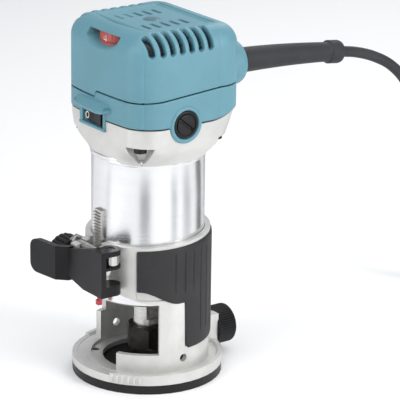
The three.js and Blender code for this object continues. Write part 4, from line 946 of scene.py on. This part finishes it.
def makeBrushBoss(side):
    brush = span("brush_cap_right")
    cy, cz = (brush[0][1] + brush[1][1]) / 2, (brush[0][2] + brush[1][2]) / 2
    ring = [(8.2, 35.0), (8.2, 40.9), (8.5, 41.5), (9.4, 41.75), (10.2, 41.5), (10.7, 40.9), (10.9, 39.8),
            (11.0, 35.0)]
    profile = [(r, side * x) for r, x in ring[::-side]]
    name = "right" if side > 0 else "left"
    return turned("brush_boss_" + name, profile, 96, "x", (cy, cz), closed=False)


switchTabs = [  # the frame of the switch's mouth: left, front and bottom; right and top; edge radius
    ("switch_tab_left", (-17.0, -0.6, 151.0), (-13.9, 162.0), 0.9),
    ("switch_tab_right", (5.9, -0.4, 151.0), (8.4, 162.0), 0.9),
    ("switch_tab_sill", (-17.0, -0.9, 150.6), (8.4, 152.6), 0.7),
]


def softBlock(name, low, high, roundness):
    # a box with eased edges
    x0, y0, z0 = low
    x1, y1, z1 = high
    points = [(x, y, z) for x in (x0, x1) for y in (y0, y1) for z in (z0, z1)]
    faces = [(0, 1, 3, 2), (4, 6, 7, 5), (0, 4, 5, 1), (2, 3, 7, 6), (0, 2, 6, 4), (1, 5, 7, 3)]
    return bezelled(putMesh(name, points, faces, sharpAngle=30), roundness, 4)


def makeBrow():
    # a wedge over the switch: broad under edge, tip drawn out to one side
    x = np.array([-24.5, -20, -14, -4, 6, 10.5, 13.5])
    reach = np.array([0.2, 3.2, 4.2, 4.6, 4.9, 4.4, 0.4])
    low = np.array([161.4, 161.5, 161.6, 161.6, 161.7, 162.2, 163.0])
    high = np.array([163.5, 166.4, 167.6, 168.2, 168.0, 167.0, 164.0])
    face = -31.0 - 4 * (1 - (x / 41) ** 2)
    grid = np.stack([np.stack([x, face + 2.5, low + 0.3], -1), np.stack([x, face - reach, low], -1),
                     np.stack([x, face - reach, low + 1.7], -1),
                     np.stack([x, face - 0.4 * reach, high - 1.0], -1),
                     np.stack([x, face + 2.5, high + 1.5], -1)])
    faces = [list(f) for f in gridFaces(5, len(x), wrapRows=True)]
    faces.append([k * len(x) for k in range(5)][::-1])
    faces.append([k * len(x) + len(x) - 1 for k in range(5)])
    return bezelled(putMesh("switch_brow", grid, faces, sharpAngle=24), 0.6, 3, 20)


def fitHead():
    teal = skins["teal"]
    dress(makeHead(), "motor", "teal_plastic", teal, "head_cover")
    dress(makeRoofPanel(), "motor", "teal_plastic", teal, "head_screw")
    dress(makeLowerCover(), "motor", "teal_plastic", teal, "lower_cover")
    dress(makeFlare(), "motor", "cast_aluminium", skins["cast"], "motor_housing")
    dress(makeBarrel(), "motor", "turned_aluminium", skins["turned"])
    dress(makeGland(), "motor", "teal_plastic", teal)
    dress(makeBrow(), "motor", "teal_plastic", teal)
    face = head["front"] - head["bulge"]
    for name, low, high, roundness in switchTabs:
        block = softBlock(name, (low[0], face + low[1], low[2]), (high[0], face + 9, high[1]), roundness)
        dress(block, "motor", "teal_plastic", teal)
    for side in (-1, 1):
        name = "right" if side > 0 else "left"
        dress(makeBrushCap(side), "motor", "black_plastic", skins["black"], "brush_cap_" + name)
        dress(makeBrushBoss(side), "motor", "teal_plastic", teal)
    print("head fitted")


fitHead()

easedParts = [  # node, body, slot, skin, edge width
    ("base_casting", "base", "cast_aluminium", "cast", 0.5),
    ("sole_plate", "base", "black_plastic", "black", 0.5),
    ("clamp_bolt", "base", "steel", "steelX", 0.3),
    ("clamp_nut", "base", "steel", "steelX", 0.3),
    ("thrust_washer", "base", "steel", "steelX", 0.2),
    ("depth_pointer", "base", "pointer_red", "pointer", 0.25),
    ("lever_pin", "lever", "dark_steel", "darkSteel", 0.25),
    ("pinion_shaft", "height_drive", "steel", "steelX", 0.12),
    ("knob_screw", "height_drive", "steel", "steelX", 0.2),
    ("guide_clamp_washer", "guide_washer", "steel", "steelX", 0.15),
    ("depth_rack", "motor", "steel", "steelX", 0.12),
    ("switch_body", "motor", "black_plastic", "black", 0.3),
    ("switch_rocker", "rocker", "black_plastic", "black", 0.5),
    ("collet_nut", "collet_nut", "dark_steel", "darkSteel", 0.35),
    ("armature_shaft", "spindle", "steel", "steelZ", 0.2),
    ("collet_cone", "collet", "steel", "steelZ", 0.15),
    ("cord_clamp", "motor", "black_plastic", "black", 0.2),
    ("bearing_bracket", "motor", "cast_aluminium", "castPaintedShade", 0.3),
    ("fan_baffle", "motor", "black_plastic", "black", 0.2),
    ("control_board", "motor", "board", "board", 0.15),
]
skinned = {  # frame pieces shown as they are, with their finish
    "darkSteel": ["sole_screw_1", "sole_screw_2", "sole_screw_3", "sole_screw_4", "housing_screw_1",
                  "housing_screw_2",
                  "housing_screw_3", "housing_screw_4"],
    "steelZ": ["front_bearing", "rear_bearing", "brush_spring_left", "brush_spring_right"],
    "laminated": ["stator_core", "armature_core"],
    "copper": ["field_winding_upper", "field_winding_lower", "commutator"],
    "brass": ["brush_holder_left", "brush_holder_right"],
    "carbon": ["carbon_brush_left", "carbon_brush_right"],
    "black": ["cooling_fan"],
}


def easeParts():
    for node, body, slotName, skin, width in easedParts:
        refined(node, body, slotName, skins[skin], width)
    for skin, nodes in skinned.items():
        for node in nodes:
            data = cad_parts[node].data
            data.materials.clear()
            data.materials.append(skins[skin])
    print("parts eased:", len(easedParts), "and skinned:", sum(map(len, skinned.values())))


easeParts()


def makeLever():
    # the lever's copy: the two outer corners of its thumb tab are rounded, then its edges are eased
    tabEnd = span("locking_lever")[0][0]
    obj = refined("locking_lever", "lever", "black_plastic", skins["lever"], 0)
    work = bmesh.new()
    work.from_mesh(obj.data)
    place = lambda v: (np.array(v.co) - axisPoint) / mm
    corners = []
    for edge in work.edges:
        a, b = place(edge.verts[0]), place(edge.verts[1])
        if max(a[0], b[0]) < tabEnd + 1.5 and abs(a[2] - b[2]) < 0.05 and edge.calc_length() > 2 * mm:
            corners.append(edge)
    bmesh.ops.bevel(work, geom=corners, offset=5.5 * mm, segments=7, profile=0.5, affect="EDGES")
    work.to_mesh(obj.data)
    work.free()
    obj.data.shade_smooth()
    obj.data.set_sharp_from_angle(angle=math.radians(34))
    bezelled(obj, 0.6)
    print("lever eased, rounded corners:", len(corners))


makeLever()

pad = {"radius": 36.0, "proud": 0.95, "front": -44.6, "back": 62.0, "legFront": 2.4, "legBottom": 22.5,
       "top": 84.9,
       "slope": 0.058, "bandLow": 50.8, "bandHigh": 59.0,
       "grooves": ((-9, 57), (1, 57), (11, 57), (21, 31), (31, 31),
                                                                       (41, 31))}


def makePad(side):
    # a skin on the base tube between a lower and an upper line, thin at its rim, with upright grooves
    p = pad
    edges = [p["legFront"] - 0.6, p["legFront"] + 0.6] + [a + d for a, low in p["grooves"] for d in (-0.9, 0.9)]
    degrees = lines((p["front"], p["back"]), edges, 1.1, 0.35)
    angle = np.radians(degrees)
    y = p["radius"] * np.sin(angle)
    high = p["top"] + p["slope"] * y - 1.1 * (1 - step(degrees, p["front"], p["front"] + 3)) ** 2
    band = p["bandHigh"] + (p["bandLow"] - p["bandHigh"]) * step(degrees, p["front"] + 4, -4)
    drop = np.sqrt(np.clip(1 - ((degrees - 47) / 15.2) ** 2, 0, 1))
    leg = p["legBottom"] + 10 * (1 - drop) * (degrees > 47)
    leg = leg + 2.5 * (1 - step(degrees, p["legFront"], p["legFront"] + 4))
    low = band + (leg - band) * step(degrees, p["legFront"] - 0.7, p["legFront"] + 0.7)
    t = np.concatenate([[0, 0, 0.008, 0.02], np.linspace(0.045, 0.955, 56), [0.98, 0.992, 1, 1]])
    height = low[None] + (high - low)[None] * t[:, None]
    out = np.interp(t, [0, 0.008, 0.02, 0.045, 0.955, 0.98, 0.992, 1],
                    [0.2, 0.62, 0.85, 1, 1, 0.85, 0.62, 0.2])
    out[0] = out[-1] = -1.2
    ends = np.minimum(step(degrees, p["front"] - 0.3, p["front"] + 1.2),
                      step(-degrees, -p["back"] - 0.3, -p["back"] + 1.2))
    ends[0] = ends[-1] = -1.2
    raised = p["proud"] * np.minimum(out[:, None], ends[None])
    for at, lowEnd in p["grooves"]:
        across = (degrees[None] - at) * p["radius"] * math.pi / 180
        within = step(height, lowEnd - 0.5, lowEnd + 0.8) * step(-height, -81.8, -80.5)
        raised = raised - 0.62 * np.exp(-(across / 0.42) ** 2) * within
    radius = p["radius"] + raised
    a = angle if side > 0 else np.pi - angle
    grid = np.stack([radius * np.cos(a), radius * np.sin(a), height], -1)
    faces = gridFaces(*grid.shape[:2])
    if side < 0:
        faces = faces[:, ::-1]
    name = "right" if side > 0 else "left"
    return walled(putMesh(f"grip_{name}_fine", grid, faces, sharpAngle=50), 0.5)


def knurled(count, depth, low, high):
    # flutes run along a knob between two stations, fading at its ends
    def ripple(angle, height, radius):
        wave = np.abs(np.sin(angle * count / 2)) ** 0.8
        fade = step(height, low, low + 1.2) * step(-height, -high, -high + 1.2)
        return -depth * (1 - wave) * fade * (radius > 8)
    return ripple


def makeGuideScrew():
    start, end = 44.4, span("guide_clamp_screw")[1][1]
    y = np.linspace(start + 1.3, end - 1.3, 9)
    profile = [(0.05, 38.0), (3.0, 38.0), (3.0, start - 0.4), (7.5, start), (10.6, start),
               (11.4, start + 0.6)]
    profile += [(11.6, v) for v in y] + [(11.4, end - 0.6), (10.6, end), (8.8, end), (8.4, end - 0.7),
                                         (3.2, end - 0.9),
                                         (3.0, end - 0.2), (0.05, end - 0.2)]
    return turned("guide_knob", profile, 300, "y", (0, 15.5), ripple=knurled(50, 0.75, start, end),
                  sharpAngle=50)


def makeHeightKnob():
    low, high = span("adjusting_knob")
    cy, cz = (low[1] + high[1]) / 2, (low[2] + high[2]) / 2
    x = np.linspace(low[0] + 1.3, high[0] - 1.3, 9)
    profile = [(0.05, low[0] + 1.2), (6.6, low[0] + 1.2), (7.2, low[0] + 0.1), (9.6, low[0]),
               (10.4, low[0] + 0.6)]
    profile += [(10.6, v) for v in x] + [(10.4, high[0] - 0.6), (9.6, high[0]), (0.05, high[0])]
    return turned("height_knob", profile, 240, "x", (cy, cz), ripple=knurled(20, 1.0, low[0], high[0]),
                  sharpAngle=50)


def makeDial():
    # a drum with fine ribs, a broad groove under its rim and a dished top
    low, high = span("speed_dial")
    cy = (low[1] + high[1]) / 2
    z0, z1 = 197.8, 206.2
    z = np.linspace(z0 + 0.9, z1 - 0.9, 14)
    profile = [(0.05, z0), (12.2, z0), (12.75, z0 + 0.3)]
    profile += [(12.95 - 0.5 * math.exp(-((v - z0 - 2.4) / 0.45) ** 2), v) for v in z]
    profile += [(12.75, z1 - 0.3), (12.2, z1), (10.5, z1), (10, z1 - 0.6), (0.05, z1 - 0.6)]
    ribs = lambda a, h, r: -0.22 * (np.cos(a * 18) > 0.86) * (r > 12) * step(h, z0 + 3.2, z0 + 4)
    return turned("dial_drum", profile, 288, centre=(0, cy), ripple=ribs, sharpAngle=50)


def makeNumeral():
    # a plain figure 4 wrapped on the drum: three bars
    low, high = span("speed_dial")
    cy = (low[1] + high[1]) / 2
    bars = [((-1.2, 203.6), (-1.2, 201.8)), ((-1.3, 201.8), (1.4, 201.8)), ((0.6, 204.6), (0.6, 200.6))]
    points, faces = [], []
    for (a0, z0), (a1, z1) in bars:
        along = np.array([a1 - a0, z1 - z0])
        across = np.array([-along[1], along[0]]) / np.hypot(*along) * 0.22
        base = len(points)
        for t in np.linspace(0, 1, 6):
            for side in (-1, 1):
                a, z = np.array([a0, z0]) + along * t + across * side
                turn = -math.pi / 2 + a / 12.95 + 0.12
                points.append((13.0 * math.cos(turn), cy + 13.0 * math.sin(turn), z))
        for k in range(5):
            i = base + 2 * k
            faces.append((i, i + 2, i + 3, i + 1))
    obj = putMesh("dial_figure", points, faces)
    solid = obj.modifiers.new("thickness", "SOLIDIFY")
    solid.thickness = 0.12 * mm
    solid.offset = 0
    return obj


def makeRockerMark():
    # the off ring, printed on the rocker's near half
    low, high = span("switch_rocker")
    x, z, y = low[0] + 4.2, (low[2] + high[2]) / 2, low[1] + 0.25
    angle = np.arange(40) * 2 * np.pi / 40
    rings = [(1.55, 0.0), (1.55, -0.12), (2.1, -0.12), (2.1, 0.0)]
    grid = np.array([np.stack([x + 0.8 * r * np.cos(angle), np.full(40, y + d), z + r * np.sin(angle)], -1)
                     for r, d in rings])
    return putMesh("rocker_off_ring", grid, gridFaces(4, 40, wrapRows=True, wrapCols=True)[:, ::-1])


ribRow = {"count": 6, "first": -62, "pitch": 4.4, "radius": 43.6,
          "profile": [(0.05, 5.6), (0.7, 5.7), (1.05, 6.3), (1.05, 9.8), (0.7, 10.5), (0.05, 10.7)]}


def makeFlangeRibs():
    # half-round grip ribs on the flange's front wall
    r = ribRow
    ribs = []
    for k in range(r["count"]):
        a = math.radians(r["first"] + k * r["pitch"])
        centre = (r["radius"] * math.cos(a), r["radius"] * math.sin(a))
        ribs.append(turned(f"flange_rib_{k + 1}", r["profile"], 24, centre=centre))
    return ribs


def fitDetails():
    dress(makePad(1), "base", "grip_rubber", skins["rubber"], "grip_pad_right")
    dress(makePad(-1), "base", "grip_rubber", skins["rubber"], "grip_pad_left")
    dress(makeGuideScrew(), "guide_screw", "black_plastic", skins["black"], "guide_clamp_screw")
    dress(makeHeightKnob(), "height_drive", "black_plastic", skins["black"], "adjusting_knob")
    dress(makeDial(), "dial", "red_plastic", skins["dial"], "speed_dial")
    dress(makeNumeral(), "dial", "red_plastic", skins["numeral"])
    dress(makeRockerMark(), "rocker", "black_plastic", skins["numeral"])
    for rib in makeFlangeRibs():
        dress(rib, "base", "cast_aluminium", skins["cast"])
    print("grips, knobs and marks fitted")


fitDetails()
